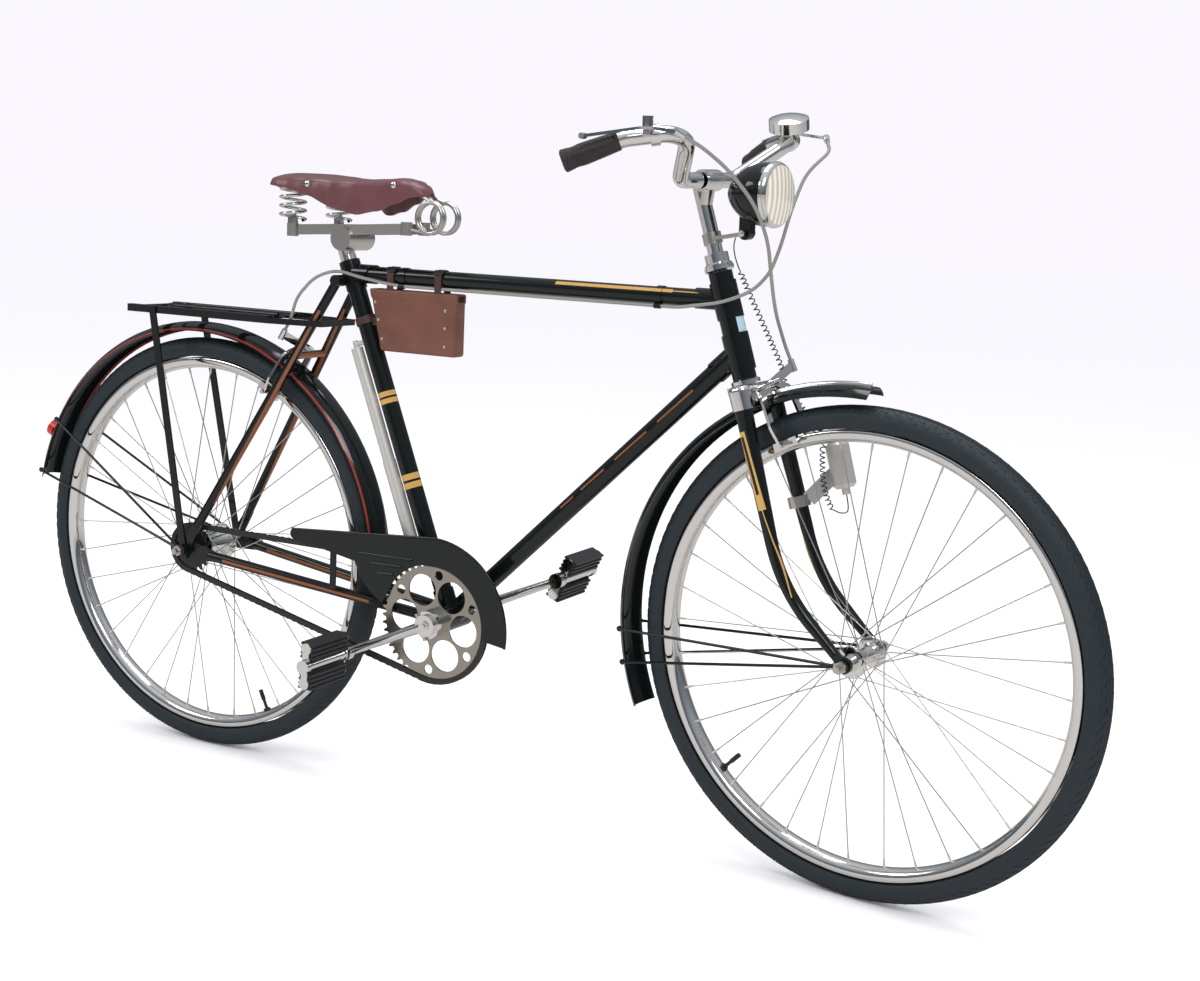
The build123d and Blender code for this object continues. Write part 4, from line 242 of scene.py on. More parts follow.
@dataclass(frozen=True)
class LinedEnamel(Finish):
    """Enamel with painted lines.

    Attributes:
        stripes: Its lines, later ones over earlier ones.
    """

    stripes: Tuple[Stripe, ...] = ()

    def build(self) -> bpy.types.Material:
        """Makes the enamel and paints its lines.

        Returns:
            The new material.
        """
        material = super().build()
        tree = material.node_tree
        shader = tree.nodes["Principled BSDF"]
        below: Optional[bpy.types.NodeSocket] = None
        for stripe in self.stripes:
            mix = colour_mix(tree, self.colour, stripe.colour, self.mask(tree, stripe))
            if below:
                tree.links.new(below, mix.inputs[MIX_BASE])
            below = mix.outputs[MIX_RESULT]
        tree.links.new(below, shader.inputs["Base Color"])
        return material

    def mask(self, tree: bpy.types.NodeTree, stripe: Stripe) -> bpy.types.NodeSocket:
        """Adds the nodes that are one inside a stripe and nought outside it.

        Args:
            tree: Node tree to extend.
            stripe: The stripe.

        Returns:
            The mask's socket.
        """
        run = stripe.end - stripe.start
        middle = (stripe.start + stripe.end) / 2
        both = tree.nodes.new("ShaderNodeMath")
        both.operation = "MULTIPLY"
        reach = ((run.normalized(), run.length / 2), (stripe.across.normalized(), stripe.half))
        for index, (way, half) in enumerate(reach):
            coords = tree.nodes.new("ShaderNodeTexCoord")
            dot = tree.nodes.new("ShaderNodeVectorMath")
            dot.operation = "DOT_PRODUCT"
            dot.inputs[1].default_value = way
            near = tree.nodes.new("ShaderNodeMath")
            near.operation = "COMPARE"
            near.inputs[1].default_value = middle.dot(way)
            near.inputs[2].default_value = half
            tree.links.new(coords.outputs["Object"], dot.inputs[0])
            tree.links.new(dot.outputs["Value"], near.inputs[0])
            tree.links.new(near.outputs["Value"], both.inputs[index])
        return both.outputs["Value"]


@dataclass(frozen=True)
class FlutedGlass(Finish):
    """Lamp glass with upright flutes, darker in their valleys as painted shade.

    Attributes:
        flutes: Scale of the flutes' wave.
        painted_shade: Darker colour painted in the flutes' valleys as painted shade.
        waver: How much the flutes waver.
        relief: Strength of the flutes' bump.
        depth: Depth of the flutes.
    """

    flutes: float = 30.0
    # Painted shade for the flutes' valleys.
    painted_shade: Colour = (0.50, 0.44, 0.33)
    waver: float = 0.4
    relief: float = 0.6
    depth: float = 0.8 * MM

    def build(self) -> bpy.types.Material:
        """Makes the glass and its flutes, with painted shade in the valleys.

        Returns:
            The new material.
        """
        material = super().build()
        tree = material.node_tree
        shader = tree.nodes["Principled BSDF"]
        coords = tree.nodes.new("ShaderNodeTexCoord")
        wave = tree.nodes.new("ShaderNodeTexWave")
        wave.bands_direction = "Y"
        wave.inputs["Scale"].default_value = self.flutes
        wave.inputs["Distortion"].default_value = self.waver
        # Ramp from the painted shade in the valleys, where the bump is lowest, to the glass colour on the
        # crests.
        ramp = tree.nodes.new("ShaderNodeValToRGB")
        ramp.color_ramp.elements[0].color = (*self.painted_shade, 1.0)
        ramp.color_ramp.elements[1].color = (*self.colour, 1.0)
        bump = tree.nodes.new("ShaderNodeBump")
        bump.inputs["Strength"].default_value = self.relief
        bump.inputs["Distance"].default_value = self.depth
        tree.links.new(coords.outputs["Object"], wave.inputs["Vector"])
        tree.links.new(wave.outputs["Fac"], ramp.inputs["Fac"])
        tree.links.new(ramp.outputs["Color"], shader.inputs["Base Color"])
        tree.links.new(wave.outputs["Fac"], bump.inputs["Height"])
        tree.links.new(bump.outputs["Normal"], shader.inputs["Normal"])
        return material


BLACK = (0.0040, 0.0058, 0.0056)
GOLD = (0.48, 0.29, 0.085)
COPPER = (0.20, 0.068, 0.028)
RED_LINE = (0.22, 0.035, 0.020)
ENAMEL = Finish("black_enamel", BLACK, rough=0.10, shine=0.42)
CHROME = Finish("chrome", (0.84, 0.83, 0.80), metal=1.0, rough=0.08, grain=Grain.PLATE)
STEEL = Finish("plated_steel", (0.60, 0.58, 0.54), metal=1.0, rough=0.28, grain=Grain.BRUSHED)
SILVER = Finish("satin_silver", (0.62, 0.605, 0.56), metal=0.55, rough=0.36, grain=Grain.BRUSHED)
# Chainring steel, darker and warmer than the plated steel: painted reflection, standing in for the dark and
# golden reflections on the chainring.
RING_STEEL_PAINTED_REFLECTION = Finish("ring_steel_painted_reflection", (0.40, 0.37, 0.32), metal=1.0, rough=0.20, grain=Grain.BRUSHED)
CHAIN_STEEL = Finish("chain_steel", (0.045, 0.043, 0.042), metal=0.7, rough=0.38)
TYRE = Finish("tyre_rubber", (0.008, 0.0155, 0.0205), rough=0.60, grain=Grain.RUBBER)
PEDAL_RUBBER = Finish("pedal_rubber", (0.012, 0.014, 0.016), rough=0.5, grain=Grain.RUBBER)
GRIP_RUBBER = Finish("grip_rubber", (0.022, 0.014, 0.016), rough=0.42, grain=Grain.RUBBER)
SADDLE_LEATHER = Finish("saddle_leather", (0.115, 0.040, 0.044), rough=0.34, grain=Grain.LEATHER, mottle=0.25)
BAG_LEATHER = Finish("bag_leather", (0.140, 0.050, 0.029), rough=0.45, grain=Grain.LEATHER, mottle=0.3)
STRAP_LEATHER = Finish("strap_leather", (0.05, 0.018, 0.012), rough=0.5, grain=Grain.LEATHER)
RED_LENS = Finish("red_lens", (0.45, 0.012, 0.010), rough=0.12, coat=0.5)
GLASS = FlutedGlass("lamp_glass", (0.80, 0.78, 0.70), rough=0.10, coat=0.8)
CASING = Finish("cable_casing", (0.22, 0.215, 0.195), rough=0.4)
LEAD = Finish("lead", (0.014, 0.014, 0.016), rough=0.4)
BLACK_PLASTIC = Finish("black_plastic", (0.010, 0.010, 0.011), rough=0.35)
BADGE = Finish("blank_badge", (0.42, 0.55, 0.62), rough=0.25, coat=0.4)

SLOT_FINISH = {
    "black_enamel": ENAMEL, "chrome": CHROME, "steel": STEEL, "silver": SILVER, "chain_steel": CHAIN_STEEL,
    "tyre": TYRE, "pedal_rubber": PEDAL_RUBBER, "grip_rubber": GRIP_RUBBER, "saddle_leather": SADDLE_LEATHER,
    "bag_leather": BAG_LEATHER, "red_lens": RED_LENS, "lamp_glass": GLASS, "cable_casing": CASING,
    "lead": LEAD,
}


class Bench:
    """Modelling steps that the sub-assemblies share."""

    @staticmethod
    def clear() -> None:
        """Deselects everything."""
        bpy.ops.object.select_all(action="DESELECT")

    @staticmethod
    def pick(piece: bpy.types.Object) -> None:
        """Selects one piece alone and makes it active.

        Args:
            piece: Piece to select.
        """
        Bench.clear()
        piece.select_set(True)
        bpy.context.view_layer.objects.active = piece

    @staticmethod
    def edit() -> None:
        """Opens the active piece in edit mode, all of it selected."""
        bpy.ops.object.mode_set(mode="EDIT")
        bpy.ops.mesh.select_all(action="SELECT")

    @staticmethod
    def shut() -> None:
        """Turns the selected faces outwards and leaves edit mode."""
        bpy.ops.mesh.normals_make_consistent(inside=False)
        bpy.ops.object.mode_set(mode="OBJECT")

    @staticmethod
    def active(name: str) -> bpy.types.Object:
        """Names the object that an operator just added.

        Args:
            name: New name.

        Returns:
            The active object.
        """
        made = bpy.context.active_object
        made.name = name
        return made

    @staticmethod
    def apply(piece: bpy.types.Object) -> bpy.types.Object:
        """Puts the piece's place into its mesh.

        Args:
            piece: Piece to change.

        Returns:
            The same piece.
        """
        Bench.pick(piece)
        bpy.ops.object.transform_apply(location=True, rotation=True, scale=True)
        return piece

    @staticmethod
    def place(piece: bpy.types.Object, matrix: Matrix) -> bpy.types.Object:
        """Moves a piece by a matrix and puts the place into its mesh.

        Args:
            piece: Piece to move.
            matrix: Place in the row frame.

        Returns:
            The same piece.
        """
        piece.matrix_world = matrix @ piece.matrix_world
        return Bench.apply(piece)

    @staticmethod
    def rod(name: str, start: Vector, end: Vector, radius: float, sides: int) -> bpy.types.Object:
        """Round bar between two points.

        Args:
            name: Piece name.
            start: First end.
            end: Second end.
            radius: Its radius.
            sides: Number of sides.

        Returns:
            The new piece.
        """
        Bench.clear()
        run = Vector(end) - Vector(start)
        turn = run.to_track_quat("Z", "Y").to_euler()
        bpy.ops.mesh.primitive_cone_add(vertices=sides, radius1=radius, radius2=radius, depth=run.length,
                                        location=(Vector(start) + Vector(end)) / 2, rotation=turn)
        return Bench.apply(Bench.active(name))

    @staticmethod
    def box(name: str, centre: Vector, size: Vector, bevel: float = 0.0) -> bpy.types.Object:
        """Box with rounded edges.

        Args:
            name: Piece name.
            centre: Middle of the box.
            size: Its three sides.
            bevel: Radius of the rounded edges.

        Returns:
            The new piece.
        """
        Bench.clear()
        bpy.ops.mesh.primitive_cube_add(size=1.0, location=centre)
        made = Bench.active(name)
        made.scale = size
        Bench.apply(made)
        if bevel:
            Bench.modify(made, "BEVEL", width=bevel, segments=BEVEL_STEPS)
        return made

    @staticmethod
    def ball(name: str, centre: Vector, radius: float, squash: Vector) -> bpy.types.Object:
        """Flattened ball.

        Args:
            name: Piece name.
            centre: Its middle.
            radius: Its radius.
            squash: Scale along each axis.

        Returns:
            The new piece.
        """
        Bench.clear()
        bpy.ops.mesh.primitive_uv_sphere_add(segments=20, ring_count=12, radius=radius, location=centre)
        made = Bench.active(name)
        made.scale = squash
        return Bench.apply(made)

    @staticmethod
    def modify(piece: bpy.types.Object, kind: str, **settings: object) -> bpy.types.Object:
        """Adds a modifier and applies it.

        Args:
            piece: Piece to change.
            kind: Kind of modifier.
            **settings: Its settings.

        Returns:
            The same piece.
        """
        Bench.pick(piece)
        modifier = piece.modifiers.new(kind.lower(), kind)
        for name, value in settings.items():
            setattr(modifier, name, value)
        bpy.ops.object.modifier_apply(modifier=modifier.name)
        return piece

    @staticmethod
    def trace(name: str, points: Sequence[Point]) -> bpy.types.Object:
        """Outline made by extruding one vertex from point to point.

        Args:
            name: Piece name.
            points: Corners of the outline.

        Returns:
            The new outline, in object mode.
        """
        Bench.clear()
        bpy.ops.mesh.primitive_plane_add(size=1.0, location=(0, 0, 0))
        made = Bench.active(name)
        Bench.edit()
        bpy.ops.mesh.merge(type="CENTER")
        bpy.ops.transform.translate(value=Vector(points[0]))
        for before, after in zip(points, points[1:]):
            step = Vector(after) - Vector(before)
            bpy.ops.mesh.extrude_region_move(TRANSFORM_OT_translate={"value": step})
        bpy.ops.mesh.select_all(action="SELECT")
        bpy.ops.object.mode_set(mode="OBJECT")
        return made

    @staticmethod
    def spun(name: str, profile: Sequence[Pair], steps: int, closed: bool = True,
             angle: float = 360.0) -> bpy.types.Object:
        """Profile turned about the Y axis, upward from the X axis.

        Args:
            name: Piece name.
            profile: Radius and place along Y of each corner.
            steps: Steps round the turn.
            closed: Whether the profile is a closed outline.
            angle: Degrees of the turn.

        Returns:
            The new piece.
        """
        corners = [(radius, along, 0.0) for radius, along in profile]
        if closed:
            corners.append(corners[0])
        made = Bench.trace(name, corners)
        Bench.edit()
        bpy.ops.mesh.spin(steps=steps, angle=math.radians(angle), center=(0, 0, 0), axis=(0, 1, 0))
        bpy.ops.mesh.select_all(action="SELECT")
        bpy.ops.mesh.remove_doubles(threshold=MERGE_WITHIN)
        if angle < 360.0:
            bpy.ops.mesh.fill_holes(sides=0)
        Bench.shut()
        return made

    @staticmethod
    def slab(name: str, outline: Sequence[Pair], half: float, bevel: float) -> bpy.types.Object:
        """Outline in the XZ plane, thickened along Y, with rounded edges.

        Args:
            name: Piece name.
            outline: X and Z of each corner.
            half: Half its thickness.
            bevel: Radius of the rounded edges.

        Returns:
            The new piece.
        """
        made = Bench.trace(name, [(x, -half, z) for x, z in (*outline, outline[0])])
        Bench.edit()
        bpy.ops.mesh.remove_doubles(threshold=MERGE_WITHIN)
        bpy.ops.mesh.edge_face_add()
        bpy.ops.mesh.extrude_region_move(TRANSFORM_OT_translate={"value": (0, 2 * half, 0)})
        bpy.ops.mesh.select_all(action="SELECT")
        Bench.shut()
        return Bench.modify(made, "BEVEL", width=bevel, segments=BEVEL_STEPS, limit_method="ANGLE",
                            angle_limit=math.radians(30))

    @staticmethod
    def wire(name: str, points: Sequence[Vector], radius: float) -> bpy.types.Object:
        """Round wire through a list of points.

        Args:
            name: Piece name.
            points: Points of its centre line.
            radius: Radius of the wire.

        Returns:
            The new piece.
        """
        curve = bpy.data.curves.new(name, "CURVE")
        curve.dimensions = "3D"
        curve.bevel_depth = radius
        curve.bevel_resolution = 1
        curve.use_fill_caps = True
        spline = curve.splines.new("POLY")
        spline.points.add(len(points) - 1)
        for slot, point in zip(spline.points, points):
            slot.co = (*point, 1.0)
        made = bpy.data.objects.new(name, curve)
        bpy.context.collection.objects.link(made)
        Bench.pick(made)
        bpy.ops.object.convert(target="MESH")
        return Bench.active(name)

    @staticmethod
    def flipped(profile: Sequence[Pair]) -> List[Pair]:
        """Mirrors a profile to the other side and runs it backwards.

        Args:
            profile: Radius and place along Y of each corner.

        Returns:
            The mirrored profile.
        """
        return [(radius, -along) for radius, along in reversed(profile)]

    @staticmethod
    def aim(place: Vector, along: Vector) -> Matrix:
        """Place of a piece that was made along Y from the origin.

        Args:
            place: Where the origin goes.
            along: Where Y goes.

        Returns:
            The matrix of that place.
        """
        turn = Vector((0, 1, 0)).rotation_difference(Vector(along))
        return Matrix.Translation(place) @ turn.to_matrix().to_4x4()

    @staticmethod
    def around(piece: bpy.types.Object, count: int) -> bpy.types.Object:
        """Repeats a piece round the Y axis.

        Args:
            piece: Piece to repeat.
            count: Number of copies in a full turn.

        Returns:
            The same piece with its copies.
        """
        Bench.pick(piece)
        Bench.edit()
        bpy.ops.mesh.spin(steps=count, angle=math.tau, center=(0, 0, 0), axis=(0, 1, 0), dupli=True)
        bpy.ops.mesh.select_all(action="SELECT")
        bpy.ops.mesh.remove_doubles(threshold=COPY_MERGE_WITHIN)
        Bench.shut()
        return piece

    @staticmethod
    def join(name: str, pieces: Sequence[bpy.types.Object]) -> bpy.types.Object:
        """Joins pieces into one object.

        Args:
            name: Name of the result.
            pieces: Pieces to join.

        Returns:
            The joined piece.
        """
        Bench.clear()
        for piece in pieces:
            piece.select_set(True)
        bpy.context.view_layer.objects.active = pieces[0]
        bpy.ops.object.join()
        return Bench.active(name)

    @staticmethod
    def dress(piece: bpy.types.Object, finish: Finish, body: Body, smooth: float = 40.0) -> bpy.types.Object:
        """Gives a finished piece its material, shading and body.

        Args:
            piece: Finished piece.
            finish: Its finish.
            body: Body that it rides on.
            smooth: Angle below which edges are shaded smooth, in degrees.

        Returns:
            The same piece.
        """
        piece.data.materials.clear()
        piece.data.materials.append(finish.material())
        Bench.pick(piece)
        bpy.ops.object.shade_smooth_by_angle(angle=math.radians(smooth))
        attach(piece, body.value)
        LOG.info("piece %s", piece.name)
        return piece


@dataclass(frozen=True)
class Places:
    """Key places of the bicycle in the row frame, in metres."""

    rear_axle: Vector = Vector((-0.250, 0.0, -0.626))
    front_axle: Vector = Vector((0.918, 0.0, -0.626))
    bracket: Vector = Vector((0.239, 0.0, -0.678))
    steer_foot: Vector = Vector((0.8419155, 0.0, -0.6507214))
    steer_axis: Vector = Vector((-0.309017, 0.0, 0.951057))
    steer_rest: float = -7.4

    def steered(self) -> Matrix:
        """Returns: the turn of the steering from straight ahead to rest."""
        turn = Matrix.Rotation(math.radians(self.steer_rest), 4, self.steer_axis)
        return Matrix.Translation(self.steer_foot) @ turn @ Matrix.Translation(-self.steer_foot)


PLACES = Places()


@dataclass(frozen=True)
class Lining:
    """Painted lines of the enamelled pieces, sizes in metres.

    Attributes:
        right: Direction to the right side.
        up: Direction upwards.
        seat_bands: Heights of the lower and upper edge of each band on the seat tube.
        seat_slope: Way back along the seat tube for each metre up.
        panel_z: Height of the top tube's panel.
        blade_line: Top and foot of the right blade's panel and end of its line, steered straight.
        broken: Shares of the down tube's line where each dash starts and ends.
    """

    right: Vector = Vector((0, -1, 0))
    up: Vector = Vector((0, 0, 1))
    seat_bands: Sequence[Pair] = ((-0.3415, -0.3340), (-0.3520, -0.3445),
                                  (-0.4685, -0.4595), (-0.4810, -0.4720))
    seat_slope: float = 0.3878
    panel_z: float = -0.1440
    blade_line: Sequence[Point] = ((0.743, -0.050, -0.326), (0.784, -0.052, -0.429), (0.839, -0.052, -0.548))
    broken: Sequence[Pair] = ((0.0, 0.26), (0.34, 0.58), (0.66, 0.84), (0.90, 1.0))

    def seat_tube(self) -> Tuple[Stripe, ...]:
        """Returns: two pairs of gold bands round the seat tube."""
        bands = []
        foot = PLACES.bracket
        for band in self.seat_bands:
            low, high = (Vector((foot.x - self.seat_slope * (z - foot.z), 0, z)) for z in band)
            bands.append(Stripe(low, high, self.right, 0.03, GOLD))
        return tuple(bands)

    def top_tube(self) -> Tuple[Stripe, ...]:
        """Returns: a gold panel that runs out into a thin line."""
        rear, middle, front = (Vector((x, 0, self.panel_z)) for x in (0.409, 0.600, 0.652))
        return Stripe(rear, middle, self.up, 0.0021, GOLD), Stripe(middle, front, self.up, 0.0007, GOLD)

    def dashes(self, start: Vector, end: Vector, spans: Sequence[Pair], half: float,
               colour: Colour) -> Tuple[Stripe, ...]:
        """Broken line between two points.

        Args:
            start: First end.
            end: Second end.
            spans: Shares of the way where each dash starts and ends.
            half: Half width of a dash.
            colour: Colour of the dashes.

        Returns:
            The dashes.
        """
        run = end - start
        across = run.cross(self.right)
        return tuple(Stripe(start + run * a, start + run * b, across, half, colour) for a, b in spans)

    def mudguard(self) -> Tuple[Stripe, ...]:
        """Returns: a red line beside each edge of the rear mudguard."""
        ends = Vector((-0.70, 0, -0.4)), Vector((0.20, 0, -0.4))
        shift = [Vector((0, side.value * 0.0245, 0)) for side in Side]
        return tuple(Stripe(ends[0] + way, ends[1] + way, self.right, 0.0011, RED_LINE) for way in shift)

    def fork(self) -> Tuple[Stripe, ...]:
        """Returns: a gold panel with a dark core on the blades, and the line below it."""
        turn = PLACES.steered()
        top, low, tail = (turn @ Vector(point) for point in self.blade_line)
        gold = self.dashes(top, low, ((0.0, 1.0),), 0.0058, GOLD)
        core = self.dashes(top, low, ((0.06, 0.80),), 0.0024, BLACK)
        line = self.dashes(low, tail, ((0.0, 0.96),), 0.0008, GOLD)
        return gold + core + line

    def finishes(self) -> Dict[str, LinedEnamel]:
        """Returns: the lined enamel of each lined CAD piece."""
        whole = ((0.0, 1.0),)
        copper = (("down_tube", (0.642, -0.281), (0.435, -0.477), self.broken, 0.0014),
                  ("chain_stays", (-0.169, -0.6346), (0.112, -0.6645), whole, 0.0022),
                  ("seat_stays", (-0.190, -0.544), (0.0015, -0.212), whole, 0.0022))
        table = {"seat_tube": self.seat_tube(), "top_tube": self.top_tube(), "rear_mudguard": self.mudguard(),
                 "fork_blades": self.fork()}
        for name, start, end, spans, half in copper:
            first, last = (Vector((x, 0, z)) for x, z in (start, end))
            table[name] = self.dashes(first, last, spans, half, COPPER)
        return {name: LinedEnamel(f"lined_{name}", BLACK, rough=ENAMEL.rough, shine=ENAMEL.shine,
                                  stripes=stripes) for name, stripes in table.items()}


@dataclass
class Wheel:
    """Wire wheel, modelled about its own axle and then put in place.

    Attributes:
        name: Name stem of its pieces.
        body: Body that it rides on.
        place: Place of the wheel in the row frame.
        flange_y: Distance of the hub flanges from the middle.
        flange_r: Radius of the flanges.
        barrel_r: Radius of the hub's barrel.
        half: Half length of the hub.
        valve_at: Angle of the valve below straight ahead.
        rim_r: Radius where the tyre sits on the rim.
        tyre_r: Radius over the tyre.
        tyre_half: Half width of the tyre.
        tyre_seat: Depth of the tyre section's middle below its tread.
        crown_r: Radius of the tyre's section.
        rib_places: Place of each centre rib along the axle.
        block_rows: Lean, length and width of the blocks in each row of the tread.
        block_seat: Distance of the blocks from the section's middle.
        block_twist: Turn of a block on the tread, in radians.
        rim_half: Half width of the rim.
        rim_wall: Depth of the rim.
        spokes: Number of spokes.
        spoke_r: Radius of a spoke.
        nipple: Length and radius of a nipple.
        cross: Angle by which a spoke leans at the hub.
        blocks: Blocks in a row of the tread.
        turn_steps: Steps round the tyre.
    """

    name: str
    body: Body
    place: Matrix
    flange_y: float
    flange_r: float
    barrel_r: float
    half: float
    valve_at: float
    rim_r: float = 0.317
    tyre_r: float = 0.350
    tyre_half: float = 0.020
    tyre_seat: float = 0.0195
    crown_r: float = 0.0190
    rib_places: Sequence[float] = (-0.0046, 0.0, 0.0046)
    block_rows: Sequence[Point] = ((31.0, 0.0095, 0.0046), (50.0, 0.0085, 0.0050))
    block_seat: float = 0.0184
    block_twist: float = 0.4
    rim_half: float = 0.015
    rim_wall: float = 0.013
    spokes: int = 36
    spoke_r: float = 0.0009
    nipple: Pair = (0.014, 0.0017)
    cross: float = 60.0
    blocks: int = 120
    turn_steps: int = 120

    def build(self) -> None:
        """Models the tyre, rim, hub and spokes."""
        self.tyre()
        self.rim()
        self.hub()

    def put(self, piece: bpy.types.Object, finish: Finish, node: Optional[str] = None,
            smooth: float = 40.0) -> None:
        """Places and dresses one piece of the wheel.

        Args:
            piece: Piece about the wheel's own axle.
            finish: Its finish.
            node: CAD node that it stands for.
            smooth: Smoothing angle in degrees.
        """
        Bench.place(piece, self.place)
        Bench.dress(piece, finish, self.body, smooth)
        if node:
            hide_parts(node)

    def tyre(self) -> None:
        """Models the round tyre with its centre ribs and side blocks."""
        middle = self.tyre_r - self.tyre_seat
        section = []
        for step in range(-11, 12):
            angle = math.radians(step * 11.5)
            radius = middle + self.crown_r * math.cos(angle)
            section.append((max(radius, self.rim_r), self.tyre_half * 0.985 * math.sin(angle)))
        carcass = Bench.spun(f"{self.name}_tyre", section, self.turn_steps)
        pieces = [carcass, *(self.rib(middle, along) for along in self.rib_places)]
        for side in Side:
            for row, sizes in enumerate(self.block_rows):
                pieces.append(self.block_row(middle, side, row, sizes))
        whole = Bench.join(f"{self.name}_tyre", pieces)
        self.put(whole, TYRE, f"{self.name}_tyre", smooth=35.0)

    def rib(self, middle: float, along: float) -> bpy.types.Object:
        """One rib round the tread.

        Args:
            middle: Radius of the section's middle.
            along: Place of the rib along the axle.

        Returns:
            The rib.
        """
        top = middle + math.sqrt(self.crown_r ** 2 - along ** 2)
        profile = [(top - 0.001, along - 0.0015), (top + 0.0005, along - 0.0011),
                   (top + 0.0005, along + 0.0011), (top - 0.001, along + 0.0015)]
        return Bench.spun("rib", profile, self.turn_steps)

    def block_row(self, middle: float, side: Side, row: int, sizes: Point) -> bpy.types.Object:
        """One row of blocks round a side of the tread.

        Args:
            middle: Radius of the section's middle.
            side: Side of the tyre.
            row: Number of the row.
            sizes: Lean, length and width of its blocks.

        Returns:
            The row.
        """
        lean, length, width = sizes
        angle = math.radians(lean)
        block = Bench.box("block", Vector((0, 0, 0)), Vector((0.0022, width, length)))
        out = middle + self.block_seat * math.cos(angle)
        shift = Matrix.Translation((out, side.value * self.crown_r * math.sin(angle), 0))
        turn = Matrix.Rotation(math.pi / self.blocks * row, 4, "Y")
        tilt = Matrix.Rotation(side.value * angle, 4, "Z")
        twist = Matrix.Rotation(side.value * self.block_twist, 4, "X")
        Bench.place(block, turn @ shift @ tilt @ twist)
        return Bench.around(block, self.blocks)

    def rim(self) -> None:
        """Models the rolled chrome rim with its centre well."""
        outer, inner, half = self.rim_r, self.rim_r - self.rim_wall, self.rim_half
        crown = inner - 0.0049
        well = [(inner + 0.0030, 0.0060), (inner + 0.0065, half - 0.0034), (outer - 0.0002, half - 0.0030),
                (outer - 0.0004, half - 0.0012)]
        back = [(outer - 0.0016, half), (outer - 0.0060, half - 0.0001), (inner + 0.0015, half - 0.0012),
                (inner - 0.0018, half - 0.0046), (inner - 0.0042, 0.0050)]
        section = [*Bench.flipped(well), (inner + 0.0012, 0.0), *well,
                   *back, (crown, 0.0), *Bench.flipped(back)]
        self.put(Bench.spun(f"{self.name}_rim", section, steps=144), CHROME, f"{self.name}_rim", smooth=50.0)
        stem = Bench.rod("stem", Vector((crown + 0.001, 0, 0)), Vector((crown - 0.030, 0, 0)), 0.0027, 12)
        cap = Bench.rod("cap", Vector((crown - 0.018, 0, 0)), Vector((crown - 0.036, 0, 0)), 0.0036, 12)
        nut = Bench.rod("nut", Vector((crown + 0.0005, 0, 0)), Vector((crown - 0.0035, 0, 0)), 0.0062, 6)
        valve = Bench.join(f"{self.name}_valve", [stem, cap, nut])
        Bench.place(valve, Matrix.Rotation(math.radians(self.valve_at), 4, "Y"))
        self.put(valve, BLACK_PLASTIC)

    def hub(self) -> None:
        """Models the turned hub, crossed spokes and nipples."""
        left, right = self.flange_y - 0.0016, self.flange_y + 0.0016
        collar = 0.0090
        bore = 0.0051
        flange = [(self.barrel_r, left - 0.006), (self.barrel_r + 0.003, left), (self.flange_r, left),
                  (self.flange_r + 0.0008, self.flange_y), (self.flange_r, right), (collar + 0.004, right)]
        section = [(bore, -self.half), (collar + 0.002, -self.half), *Bench.flipped(flange),
                   (self.barrel_r - 0.0008, 0.0), *flange, (collar, self.half), (bore, self.half)]
        hub = Bench.spun(f"{self.name}_hub", section, steps=48)
        self.put(hub, CHROME, f"{self.name}_hub", smooth=40.0)
        spokes, nipples = [], []
        seat, reach = self.flange_r - 0.002, self.rim_r - self.rim_wall - 0.001
        length, radius = self.nipple
        for index in range(4):
            side = 1 if index % 2 == 0 else -1
            lead = 1 if index < 2 else -1
            rim_angle = math.radians(360 / self.spokes * index)
            hub_angle = rim_angle + math.radians(lead * self.cross)
            out = side * (self.flange_y + lead * 0.0012)
            start = Vector((seat * math.cos(hub_angle), out, seat * math.sin(hub_angle)))
            end = Vector((reach * math.cos(rim_angle), side * 0.002, reach * math.sin(rim_angle)))
            spokes.append(Bench.rod("spoke", start, end, self.spoke_r, 8))
            along = (end - start).normalized()
            nipples.append(Bench.rod("nipple", end - along * length, end, radius, 8))
        wires = Bench.around(Bench.join(f"{self.name}_spokes", spokes), self.spokes // 4)
        self.put(wires, STEEL, smooth=60.0)
        ends = Bench.around(Bench.join(f"{self.name}_nipples", nipples), self.spokes // 4)
        self.put(ends, SILVER, smooth=60.0)


